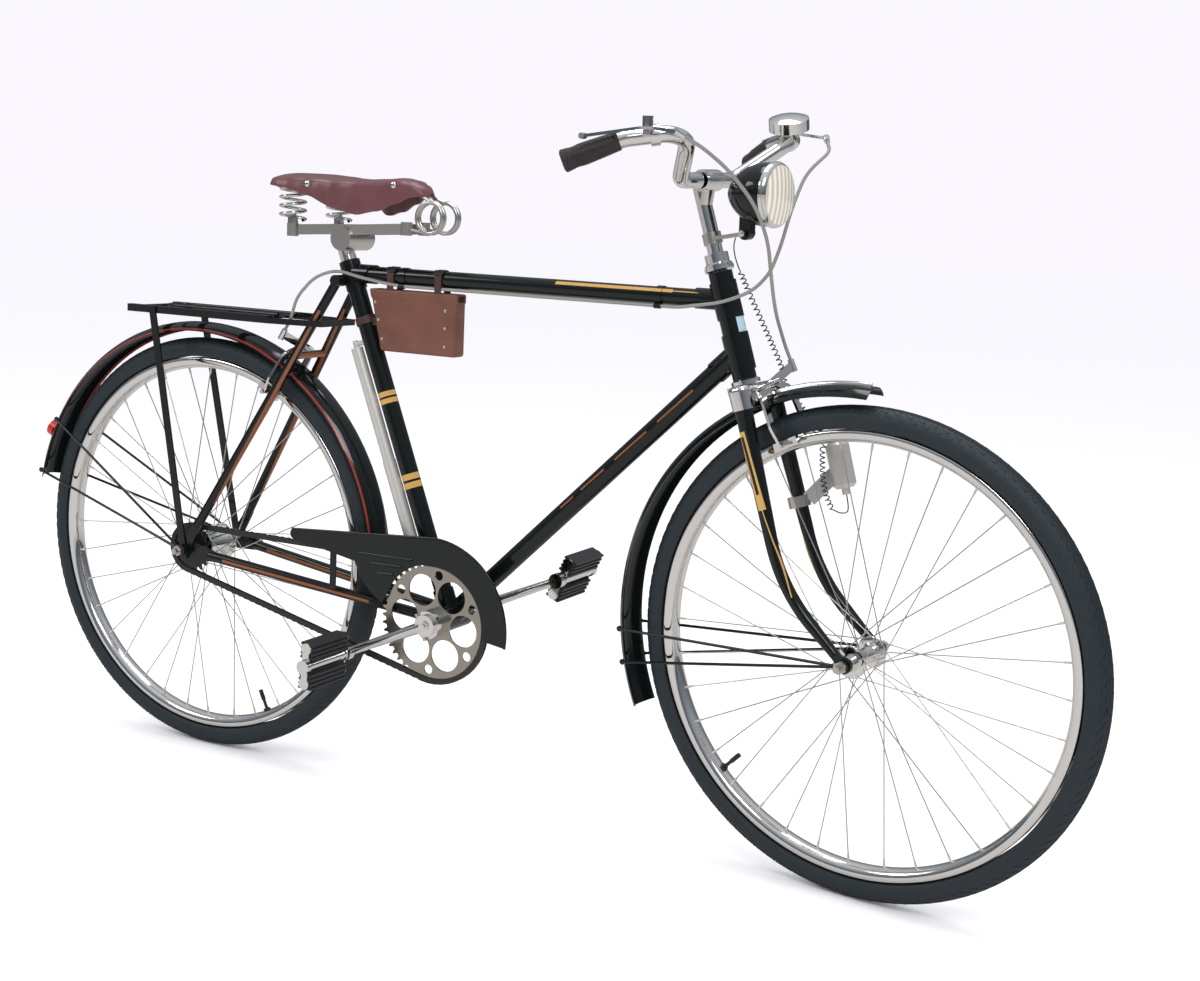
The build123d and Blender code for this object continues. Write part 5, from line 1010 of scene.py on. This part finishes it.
@dataclass
class Saddle:
    """Leather saddle top on its springs, sizes in metres.

    Attributes:
        rear: X of the back edge.
        nose: X of the nose.
        skin: Thickness of the leather.
        shoulder: Share of the way across where the skirt starts.
        flat: Share of the half width at the shoulder.
        round_off: Drop of the leather at the shoulder.
        spring: Place of the left coil's foot.
        coil_height: Free height of a coil.
        coil_r: Radius of a coil.
        wire_r: Radius of its wire.
        turns: Its number of turns.
        turn_steps: Steps in a turn.
        rivet_r: Radius of a rivet.
        stations: Share of the length, half width, top height and height of the skirt's edge at each station.
        rivet_spots: Share of the length and way across of each rivet.
    """

    rear: float = -0.0790
    nose: float = 0.1815
    skin: float = 0.0045
    shoulder: float = 0.62
    flat: float = 0.93
    round_off: float = 0.0085
    spring: Vector = Vector((-0.038, 0.059, -0.0754))
    coil_height: float = 0.0525
    coil_r: float = 0.019
    wire_r: float = 0.0026
    turns: int = 4
    turn_steps: int = 28
    rivet_r: float = 0.0052
    stations: Sequence[Tuple[float, float, float, float]] = (
        (0.00, 0.0520, -0.0140, -0.0195), (0.02, 0.0680, -0.0065, -0.0200), (0.05, 0.0820, -0.0020, -0.0208),
        (0.12, 0.0955, 0.0000, -0.0220), (0.22, 0.0985, 0.0000, -0.0250), (0.34, 0.0860, -0.0020, -0.0345),
        (0.46, 0.0640, -0.0045, -0.0515), (0.58, 0.0470, -0.0055, -0.0605), (0.70, 0.0380, -0.0040, -0.0540),
        (0.82, 0.0310, -0.0015, -0.0410), (0.90, 0.0260, -0.0045, -0.0310), (0.955, 0.0205, -0.0110, -0.0285),
        (0.985, 0.0150, -0.0175, -0.0280), (1.00, 0.0090, -0.0225, -0.0280))
    rivet_spots: Sequence[Pair] = ((0.33, 0.76), (0.33, -0.76), (0.80, 0.68), (0.80, -0.68))

    def build(self) -> None:
        """Models the leather, the rivets and the coils."""
        self.leather()
        self.rivets()
        self.coils()

    def at(self, share: float) -> Tuple[float, float, float]:
        """Half width, top and skirt height at a share of the length.

        Args:
            share: Share of the length from the back.

        Returns:
            The three sizes there.
        """
        rows = self.stations
        for before, after in zip(rows, rows[1:]):
            if share <= after[0]:
                mix = (share - before[0]) / (after[0] - before[0])
                mix = mix * mix * (3 - 2 * mix) if before[0] > 0.2 else mix
                return tuple(b + (a - b) * mix for b, a in zip(before[1:], after[1:]))
        return rows[-1][1:]

    def surface(self, share: float, turn: float) -> Vector:
        """Point of the leather's outer surface.

        Args:
            share: Share of the length from the back.
            turn: Way across, from -1 at the right edge to 1 at the left edge.

        Returns:
            The point in the row frame.
        """
        half, top, skirt = self.at(share)
        side, way = (1 if turn >= 0 else -1), abs(turn)
        if way < self.shoulder:
            out = way / self.shoulder
            across = half * self.flat * out
            height = top - self.round_off * out ** 3
        else:
            down = (way - self.shoulder) / (1 - self.shoulder)
            across = half * (self.flat + (1 - self.flat) * math.sin(down * math.pi * 0.5))
            height = (top - self.round_off) + (skirt - top + self.round_off) * down ** 1.25
        return Vector((self.rear + (self.nose - self.rear) * share, side * across, height))

    def leather(self) -> None:
        """Shapes a grid into the leather top and gives it thickness."""
        Bench.clear()
        columns, rows = 48, 37
        bpy.ops.mesh.primitive_grid_add(x_subdivisions=columns - 1, y_subdivisions=rows - 1, size=2.0)
        made = Bench.active("saddle_leather")
        for vertex in made.data.vertices:
            share = (vertex.co.x + 1) / 2
            vertex.co = self.surface(share, vertex.co.y)
        Bench.modify(made, "SOLIDIFY", thickness=self.skin, offset=-1.0)
        Bench.modify(made, "BEVEL", width=0.0012, segments=2, limit_method="ANGLE",
                     angle_limit=math.radians(60))
        Bench.dress(made, SADDLE_LEATHER, Body.FRAME, 60.0)
        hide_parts("saddle_cover")

    def rivets(self) -> None:
        """Sets two bright rivets in each side of the leather."""
        heads = [Bench.ball("rivet", self.surface(*spot), self.rivet_r, RIVET_SQUASH)
                 for spot in self.rivet_spots]
        Bench.dress(Bench.join("saddle_rivets", heads), CHROME, Body.FRAME, 60.0)

    def coils(self) -> None:
        """Winds the two rear coils from round wire."""
        coils = []
        for side in Side:
            Bench.clear()
            bpy.ops.mesh.primitive_circle_add(vertices=10, radius=self.wire_r, location=(self.coil_r, 0, 0),
                                              rotation=(math.pi / 2, 0, 0))
            coil = Bench.apply(Bench.active("coil"))
            Bench.modify(coil, "SCREW", axis="Z", screw_offset=self.coil_height / self.turns,
                         iterations=self.turns, steps=self.turn_steps, render_steps=self.turn_steps,
                         use_merge_vertices=False)
            foot = Vector((self.spring.x, side.value * self.spring.y, self.spring.z + self.wire_r))
            coils.append(Bench.place(coil, Matrix.Translation(foot)))
            low = foot - Vector((0, 0, 0.0085))
            coils.append(Bench.rod("stud", low, foot + Vector((0, 0, 0.004)), 0.0080, 24))
            coils.append(Bench.rod("neck", foot, foot + Vector((0, 0, 0.009)), 0.0052, 6))
        made = Bench.join("saddle_coils", coils)
        Bench.dress(made, CHROME, Body.FRAME, 60.0)
        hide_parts("saddle_springs")


@dataclass
class ToolBag:
    """Flat leather tool case under the top tube, sizes in metres.

    Attributes:
        outline: X and Z of the case's corners.
        half: Half its thickness.
        straps: X of the two straps round the top tube.
        rivets: X and Z of the rivets on each face.
        lid: X and Z of the lid's corners.
        flap: X and Z of the front flap's corners.
        tube_z: Height of the top tube's middle.
        tube_r: Radius of the top tube.
        strap_half: Half width of a strap.
        seat_strap: Middle of the strap round the seat tube.
        seat_axis: Direction of the seat tube.
        seat_tube_r: Radius of the seat tube.
    """

    outline: Sequence[Pair] = ((0.0785, -0.1735), (0.2395, -0.1735), (0.2395, -0.2690), (0.1005, -0.2690))
    lid: Sequence[Pair] = ((0.0780, -0.1728), (0.2400, -0.1728), (0.2400, -0.1880), (0.0812, -0.1880))
    flap: Sequence[Pair] = ((0.2380, -0.1745), (0.2400, -0.1745), (0.2400, -0.2100), (0.2380, -0.2100))
    half: float = 0.0142
    straps: Sequence[float] = (0.117, 0.205)
    rivets: Sequence[Pair] = ((0.0895, -0.1935), (0.0960, -0.2210), (0.1035, -0.2500),
                              (0.2200, -0.1990), (0.2200, -0.2260), (0.2200, -0.2540))
    tube_z: float = -0.152
    tube_r: float = 0.0127
    strap_half: float = 0.006
    seat_strap: Vector = Vector((0.0633, 0.0, -0.225))
    seat_axis: Vector = Vector((-0.3616, 0.0, 0.9323))
    seat_tube_r: float = 0.0143

    def build(self) -> None:
        """Models the case, its lid, straps, rivets and buckles."""
        case = Bench.slab("tool_bag_case", self.outline, self.half, 0.0045)
        lid = Bench.slab("tool_bag_lid", self.lid, self.half + 0.0008, 0.0030)
        flap = Bench.slab("flap", self.flap, self.half * 0.7, 0.0008)
        leather = Bench.join("tool_bag_leather", [case, lid, flap])
        Bench.dress(leather, BAG_LEATHER, Body.FRAME, 35.0)
        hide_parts("tool_bag")
        Bench.dress(Bench.join("tool_bag_straps", self.bands()), STRAP_LEATHER, Body.FRAME, 35.0)
        Bench.dress(Bench.join("tool_bag_rivets", self.studs()), STEEL, Body.FRAME, 60.0)
        Bench.dress(Bench.join("tool_bag_buckles", self.buckles()), BLACK_PLASTIC, Body.FRAME, 35.0)

    def band(self, place: Vector, axis: Vector, radius: float) -> bpy.types.Object:
        """One strap round a tube.

        Args:
            place: Middle of the strap.
            axis: Direction of the tube.
            radius: Radius of the tube.

        Returns:
            The strap.
        """
        inner, outer, half = radius + 0.0002, radius + 0.0022, self.strap_half
        ring = Bench.spun("strap", [(inner, -half), (outer, -half), (outer, half), (inner, half)], steps=32)
        return Bench.place(ring, Bench.aim(place, axis))

    def bands(self) -> List[bpy.types.Object]:
        """Returns: the straps with their ties to the case."""
        made = [self.band(self.seat_strap, self.seat_axis, self.seat_tube_r)]
        tie = (self.seat_strap.x + 0.0145, self.seat_strap.x + 0.0330)
        made.append(Bench.box("tie", Vector((sum(tie) / 2, -0.004, self.seat_strap.z)),
                              Vector((tie[1] - tie[0], 0.003, 2 * self.strap_half)), 0.0008))
        for x in self.straps:
            made.append(self.band(Vector((x, 0, self.tube_z)), Vector((1, 0, 0)), self.tube_r))
            for side in Side:
                middle = Vector((x, side.value * (self.tube_r + 0.0008), self.tube_z - 0.0135))
                made.append(Bench.box("tie", middle, Vector((2 * self.strap_half, 0.0018, 0.027)), 0.0006))
        return made

    def studs(self) -> List[bpy.types.Object]:
        """Returns: the rivets of both faces."""
        return [Bench.ball("rivet", Vector((x, side.value * self.half, z)), 0.0026, RIVET_SQUASH)
                for x, z in self.rivets for side in Side]

    def buckles(self) -> List[bpy.types.Object]:
        """Returns: a buckle on the upper right of each strap."""
        made = []
        turn = Matrix.Rotation(math.radians(50), 4, "X")
        centre, size = Vector((0, 0, self.tube_r + 0.0030)), Vector((0.016, 0.010, 0.0022))
        for x in self.straps:
            plate = Bench.box("buckle", centre, size, 0.0006)
            made.append(Bench.place(plate, Matrix.Translation((x, 0, self.tube_z)) @ turn))
        return made


@dataclass
class Grips:
    """Ribbed rubber grips, sizes in metres.

    Attributes:
        end: End of the left bar, steered straight.
        bend: Where the bar bends ahead of the grip.
        length: Length of the grip on the bar.
        cap: Thickness of the cap over the bar's end.
        radii: Radius at the bar's end and at the front.
        bore: Radius of the bar inside it.
        ribs: Number of ribs.
        groove: Depth of the grooves between them.
    """

    end: Vector = Vector((0.56998, 0.240, 0.035))
    bend: Vector = Vector((0.63298, 0.196, 0.065))
    length: float = 0.075
    cap: float = 0.0038
    radii: Pair = (0.0154, 0.0126)
    bore: float = 0.0112
    ribs: int = 26
    groove: float = 0.0005

    def profile(self) -> List[Pair]:
        """Lays out the grip's ribbed outline.

        Returns:
            Radius and place along the grip of each corner.
        """
        rear, front = self.radii
        made = [(0.0, -self.cap), (0.0112, -self.cap), (0.0146, -self.cap * 0.6), (rear, -self.cap * 0.1)]
        pitch = self.length / self.ribs
        for rib in range(self.ribs):
            share = rib / self.ribs
            waist = 0.0012 * math.exp(-((share - 0.16) / 0.09) ** 2)
            crown = rear + (front - rear) * share ** 1.6 - waist
            low, start = crown - self.groove, pitch * rib
            made += [(crown, start + 0.20 * pitch), (crown, start + 0.62 * pitch),
                     (low, start + 0.74 * pitch), (low, start + 1.06 * pitch)]
        return made[:-1] + [(front, self.length), (self.bore, self.length)]

    def build(self) -> None:
        """Models both grips and puts them on the bar."""
        pair = []
        for side in Side:
            mirror = Vector((1, side.value, 1))
            grip = Bench.spun("grip", self.profile(), steps=36, closed=False)
            spot = PLACES.steered() @ Bench.aim(self.end * mirror, (self.bend - self.end) * mirror)
            pair.append(Bench.place(grip, spot))
        made = Bench.join("ribbed_grips", pair)
        Bench.dress(made, GRIP_RUBBER, Body.STEERING, 40.0)
        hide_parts("grips")


@dataclass
class Lead:
    """Curled lead from the lamp's arm to the dynamo, sizes in metres.

    Attributes:
        route: Way points, steered straight.
        curl: Shares of the route between which the lead is curled.
        curl_r: Radius of the curls.
        wire_r: Radius of the wire.
        pitch: Way from curl to curl.
        steps: Points in a curl.
        samples: Points at which the route is walked.
        straight_step: Way between points where it isn't curled.
    """

    route: Sequence[Point] = (
        (0.69084, 0.0, -0.0611), (0.69487, 0.0, -0.1010), (0.73487, 0.058, -0.2360),
        (0.74487, 0.064, -0.2700), (0.76487, 0.066, -0.2940), (0.81194, 0.060, -0.3360),
        (0.81594, 0.050, -0.3580), (0.82594, 0.040, -0.4010), (0.83594, 0.050, -0.4360),
        (0.84994, 0.070, -0.4420), (0.84332, 0.07573, -0.41427))
    curl: Pair = (0.11, 0.80)
    curl_r: float = 0.0034
    wire_r: float = 0.0009
    pitch: float = 0.0066
    steps: int = 12
    samples: int = 5000
    straight_step: float = 0.004

    def at(self, share: float) -> Vector:
        """Point of the smoothed route.

        Args:
            share: Share of the way points passed.

        Returns:
            The point, steered straight.
        """
        points = [Vector(point) for point in self.route]
        place = min(share, 0.9999) * (len(points) - 1)
        index = int(place)
        mix = place - index
        before, start = points[max(index - 1, 0)], points[index]
        end, after = points[index + 1], points[min(index + 2, len(points) - 1)]
        slope_in, slope_out = (end - before) / 2, (after - start) / 2
        square, cube = mix * mix, mix * mix * mix
        return (start * (2 * cube - 3 * square + 1) + slope_in * (cube - 2 * square + mix)
                + end * (3 * square - 2 * cube) + slope_out * (cube - square))

    def centre_line(self) -> List[Vector]:
        """Walks the route and winds the curls round it.

        Returns:
            The curled centre line, with even steps along the route.
        """
        count = self.samples
        walk = [self.at(step / count) for step in range(count + 1)]
        made, run = [], 0.0
        stride = self.pitch / self.steps
        turn = 0.0
        for index in range(count):
            run += (walk[index + 1] - walk[index]).length
            share = index / count
            curled = self.curl[0] < share < self.curl[1]
            if run < (stride if curled else self.straight_step):
                continue
            run = 0.0
            along = (walk[index + 1] - walk[index]).normalized()
            side = along.cross(Vector((0, 0.3, 1))).normalized()
            over = along.cross(side)
            reach = self.curl_r if curled else 0.0
            turn += math.tau / self.steps if curled else 0.0
            made.append(walk[index] + (side * math.cos(turn) + over * math.sin(turn)) * reach)
        return made + [walk[-1]]

    def build(self) -> None:
        """Winds the lead and puts it on the steering."""
        lead = Bench.wire("curled_lead", self.centre_line(), self.wire_r)
        Bench.place(lead, PLACES.steered())
        Bench.dress(lead, LEAD, Body.STEERING, 60.0)
        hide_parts("dynamo_lead")


@dataclass
class CableLoop:
    """Rear brake cable between the lever and the top tube.

    Attributes:
        fixed: Where it stays with the frame; not used.
        turned: Where it turns fully with the bar; not used.
    """

    fixed: Vector = Vector((0.686, -0.027, -0.154))
    turned: Vector = Vector((0.734, 0.024, -0.112))

    def build(self) -> None:
        """Copies the CAD cable into a piece of its own and hides the CAD node."""
        node = frame["nodes"]["rear_brake_cable_loop"]
        mesh = node.data.copy()
        mesh.name = "bending_cable"
        loop = bpy.data.objects.new("bending_cable", mesh)
        bpy.context.collection.objects.link(loop)
        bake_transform(loop)
        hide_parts("rear_brake_cable_loop")
        LOG.info("piece %s", loop.name)


@dataclass
class Fittings:
    """Small trim: mudguard crest, blank head badge, nuts and caps, sizes in metres.

    Attributes:
        guard_centre: Middle of the front mudguard's curve, steered straight.
        guard_r: Radius over the mudguard.
        crest: Angles between which the crest runs, in degrees.
        badge_foot: Foot of the badge on the steering axis.
        badge_r: Radius of the head tube under the badge.
        badge_height: Height of the badge.
        badge_angle: Degrees that the badge reaches round the tube.
        nuts: Name, place steered straight, direction, radius, height and body of each nut.
    """

    guard_centre: Vector = Vector((0.897, 0.0, -0.626))
    guard_r: float = 0.376
    crest: Pair = (88.0, 111.0)
    badge_foot: Vector = Vector((0.69987, 0.0, -0.2135))
    badge_r: float = 0.0172
    badge_height: float = 0.044
    badge_angle: float = 86.0
    nuts: Sequence[Tuple[str, Point, Point, float, float, Body]] = (
        ("seat_bolt_right", (0.0276, -0.0200, -0.164), (0, -1, 0), 0.0070, 0.006, Body.FRAME),
        ("seat_bolt_left", (0.0276, 0.0200, -0.164), (0, 1, 0), 0.0070, 0.006, Body.FRAME),
        ("lamp_bolt_right", (0.7080, -0.0110, -0.058), (0, -1, 0), 0.0050, 0.005, Body.STEERING),
        ("lamp_bolt_left", (0.7080, 0.0110, -0.058), (0, 1, 0), 0.0050, 0.005, Body.STEERING),
        ("crank_cap_right", (0.239, -0.0754, -0.678), (0, -1, 0), 0.0085, 0.004, Body.CRANKSET),
        ("crank_cap_left", (0.239, 0.0754, -0.678), (0, 1, 0), 0.0085, 0.004, Body.CRANKSET))

    def build(self) -> None:
        """Models the crest, the badge and the nuts."""
        self.moulding()
        self.badge()
        for name, place, way, radius, height, body in self.nuts:
            start, run = Vector(place), Vector(way)
            nut = Bench.rod("nut", start, start + run * height, radius, 6)
            end = Bench.rod("end", start, start + run * (height + 0.003), radius * 0.55, 16)
            made = Bench.join(name, [nut, end])
            if body is Body.STEERING:
                Bench.place(made, PLACES.steered())
            Bench.dress(made, CHROME, body, 30.0)

    def moulding(self) -> None:
        """Bends a half-round moulding over the front of the front mudguard."""
        low, high = self.guard_r - 0.001, self.guard_r + 0.0042
        half = [(high, 0.0012), (high - 0.0016, 0.0030), (low, 0.0036)]
        section = [*Bench.flipped(half), *half]
        crest = Bench.spun("mudguard_crest", section, steps=24, angle=self.crest[1] - self.crest[0])
        turn = Matrix.Rotation(-math.radians(self.crest[0]), 4, "Y")
        Bench.place(crest, PLACES.steered() @ Matrix.Translation(self.guard_centre) @ turn)
        Bench.dress(crest, CHROME, Body.STEERING, 50.0)

    def badge(self) -> None:
        """Wraps a blank plate round the front of the head tube."""
        inner, outer, edge = self.badge_r, self.badge_r + 0.0007, 0.0006
        section = [(inner, 0.0), (outer, edge), (outer, self.badge_height - edge), (inner, self.badge_height)]
        plate = Bench.spun("head_badge", section, steps=20, angle=self.badge_angle)
        turn = Matrix.Rotation(math.radians(self.badge_angle / 2), 4, "Y")
        ahead = Vector((PLACES.steer_axis.z, 0, -PLACES.steer_axis.x))
        tilt = Matrix((ahead, PLACES.steer_axis, ahead.cross(PLACES.steer_axis))).transposed().to_4x4()
        Bench.place(plate, Matrix.Translation(self.badge_foot) @ tilt @ turn)
        Bench.dress(plate, BADGE, Body.FRAME, 50.0)


@dataclass(frozen=True)
class Shot:
    """Camera, floor and lights of the photograph, in the row frame.

    Attributes:
        place: Place of the camera.
        right: Direction to the picture's right.
        down: Direction down the picture.
        forward: Direction into the picture.
        lens: Focal length for the sensor's width, in millimetres.
        sensor: Width of the sensor, in millimetres.
        ground: Height of the floor under the tyres.
        floor_colour: Colour of the floor.
        backdrop: Colour of the backdrop.
        room: Colour of the room's soft light.
        mirrored_floor: Colour of the floor in reflections.
        mirrored: Share of the way up the sky and the colour that reflections find there.
        lamps: Name, place, aim, size and power of each light.
    """

    place: Vector = Vector((1.630219, -2.162830, -0.031158))
    right: Vector = Vector((0.880617, 0.471600, 0.045903))
    down: Vector = Vector((0.118864, -0.126093, -0.984872))
    forward: Vector = Vector((-0.458677, 0.872751, -0.167096))
    lens: float = 50.175
    sensor: float = 36.0
    ground: float = -0.976
    floor_colour: Colour = (0.955, 0.955, 0.965)
    backdrop: Colour = (0.955, 0.935, 0.985)
    room: Colour = (0.985, 0.975, 1.015)
    mirrored_floor: Colour = (0.46, 0.45, 0.44)
    mirrored: Sequence[Tuple[float, Colour]] = (
        (0.0, (0.075, 0.090, 0.115)), (0.30, (0.20, 0.225, 0.26)), (1.0, (0.66, 0.68, 0.71)))
    lamps: Sequence[Tuple[str, Vector, Vector, float, float]] = (
        ("key", Vector((2.2, -2.6, 2.4)), Vector((0.3, 0, -0.4)), 1.5, 48.0),
        ("fill", Vector((-2.4, -2.2, 1.8)), Vector((0.2, 0, -0.4)), 1.2, 26.0),
        ("top", Vector((0.3, 0.3, 2.7)), Vector((0.3, 0, -0.6)), 1.6, 40.0))

    def build(self) -> None:
        """Sets the camera, floor, sky and lights."""
        self.camera()
        self.floor()
        self.world()
        self.lights()
        bpy.context.scene.view_settings.view_transform = "Standard"

    def camera(self) -> None:
        """Puts the camera where the photograph was taken."""
        Bench.clear()
        bpy.ops.object.camera_add(location=self.place)
        camera = Bench.active("camera")
        turn = Matrix((self.right, -self.down, -self.forward)).transposed()
        camera.matrix_world = Matrix.Translation(self.place) @ turn.to_4x4()
        camera.data.sensor_fit = "HORIZONTAL"
        camera.data.sensor_width = self.sensor
        camera.data.lens = self.lens
        camera.data.clip_start = 0.05
        bpy.context.scene.camera = camera

    def floor(self) -> None:
        """Lays the pale floor."""
        Bench.clear()
        bpy.ops.mesh.primitive_plane_add(size=60.0, location=(0, 0, self.ground - 0.0005))
        floor = Bench.active("floor")
        material = Finish("floor", self.floor_colour, rough=0.9, shine=0.0).material()
        tree = material.node_tree
        path = tree.nodes.new("ShaderNodeLightPath")
        mix = colour_mix(tree, self.floor_colour, self.mirrored_floor, path.outputs["Is Glossy Ray"])
        tree.links.new(mix.outputs[MIX_RESULT], tree.nodes["Principled BSDF"].inputs["Base Color"])
        floor.data.materials.append(material)

    def world(self) -> None:
        """Makes a white backdrop and room, with a darker room for reflections."""
        world = bpy.data.worlds.new("studio")
        bpy.context.scene.world = world
        world.use_nodes = True
        tree = world.node_tree
        tree.nodes.clear()
        out = tree.nodes.new("ShaderNodeOutputWorld")
        path = tree.nodes.new("ShaderNodeLightPath")
        shown = self.background(tree, self.room).outputs["Background"]
        sky = self.background(tree, self.backdrop)
        reflected = self.background(tree, self.mirrored[0][1])
        tree.links.new(self.gradient(tree), reflected.inputs["Color"])
        for ray, plain in (("Is Glossy Ray", reflected), ("Is Camera Ray", sky)):
            mix = tree.nodes.new("ShaderNodeMixShader")
            tree.links.new(path.outputs[ray], mix.inputs["Fac"])
            tree.links.new(shown, mix.inputs[1])
            tree.links.new(plain.outputs["Background"], mix.inputs[2])
            shown = mix.outputs["Shader"]
        tree.links.new(shown, out.inputs["Surface"])

    def gradient(self, tree: bpy.types.NodeTree) -> bpy.types.NodeSocket:
        """Adds the colours that reflections find from the horizon up.

        Args:
            tree: Node tree of the world.

        Returns:
            The colour socket.
        """
        coords, parts = tree.nodes.new("ShaderNodeTexCoord"), tree.nodes.new("ShaderNodeSeparateXYZ")
        ramp = tree.nodes.new("ShaderNodeValToRGB")
        stops = ramp.color_ramp.elements
        for index, (share, colour) in enumerate(self.mirrored):
            stop = stops[index] if index < 2 else stops.new(share)
            stop.position = share
            stop.color = (*colour, 1.0)
        tree.links.new(coords.outputs["Generated"], parts.inputs["Vector"])
        tree.links.new(parts.outputs["Z"], ramp.inputs["Fac"])
        return ramp.outputs["Color"]

    def background(self, tree: bpy.types.NodeTree, colour: Colour) -> bpy.types.Node:
        """Adds one plain background.

        Args:
            tree: Node tree of the world.
            colour: Its colour.

        Returns:
            Its node.
        """
        plain = tree.nodes.new("ShaderNodeBackground")
        plain.inputs["Color"].default_value = (*colour, 1.0)
        return plain

    def lights(self) -> None:
        """Hangs the soft lights."""
        for name, place, aim, size, power in self.lamps:
            Bench.clear()
            bpy.ops.object.light_add(type="AREA", location=place)
            light = Bench.active(name)
            light.data.energy = power
            light.data.size = size
            light.rotation_euler = (aim - place).to_track_quat("-Z", "Y").to_euler()


class Bicycle:
    """The whole bicycle: finishes of the CAD pieces and the pieces modelled here."""

    def __init__(self) -> None:
        """Lists the sub-assemblies in building order."""
        rear = Matrix.Translation(PLACES.rear_axle)
        front = PLACES.steered() @ Matrix.Translation(PLACES.front_axle)
        self.parts = [
            Wheel("rear", Body.REAR_WHEEL, rear, flange_y=0.030, flange_r=0.030, barrel_r=0.022,
                  half=0.0535, valve_at=65.0),
            Wheel("front", Body.FRONT_WHEEL, front, flange_y=0.032, flange_r=0.022, barrel_r=0.011,
                  half=0.0475, valve_at=135.0),
            Saddle(),
            ToolBag(),
            Grips(),
            Lead(),
            CableLoop(),
            Fittings(),
        ]

    def paint(self) -> None:
        """Gives each CAD piece the finish of its slot."""
        slots = {row["node"]: row["material_slot"] for row in frame["record"]["subparts"]}
        # The chainring gets the steel with painted reflection; the lined pieces get their lined enamel.
        special: Dict[str, Finish] = {"chainring": RING_STEEL_PAINTED_REFLECTION, **Lining().finishes()}
        for name, node in frame["nodes"].items():
            finish = special.get(name, SLOT_FINISH[slots[name]])
            node.data.materials.clear()
            node.data.materials.append(finish.material())

    def build(self) -> None:
        """Paints the CAD pieces and models the rest."""
        self.paint()
        for part in self.parts:
            part.build()
            LOG.info("sub-assembly %s", type(part).__name__)


def main() -> None:
    """Builds the bicycle and its studio."""
    logging.basicConfig(level=logging.INFO, format="%(name)s: %(message)s")
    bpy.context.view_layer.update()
    Bicycle().build()
    Shot().build()


if __name__ == "__main__":
    main()
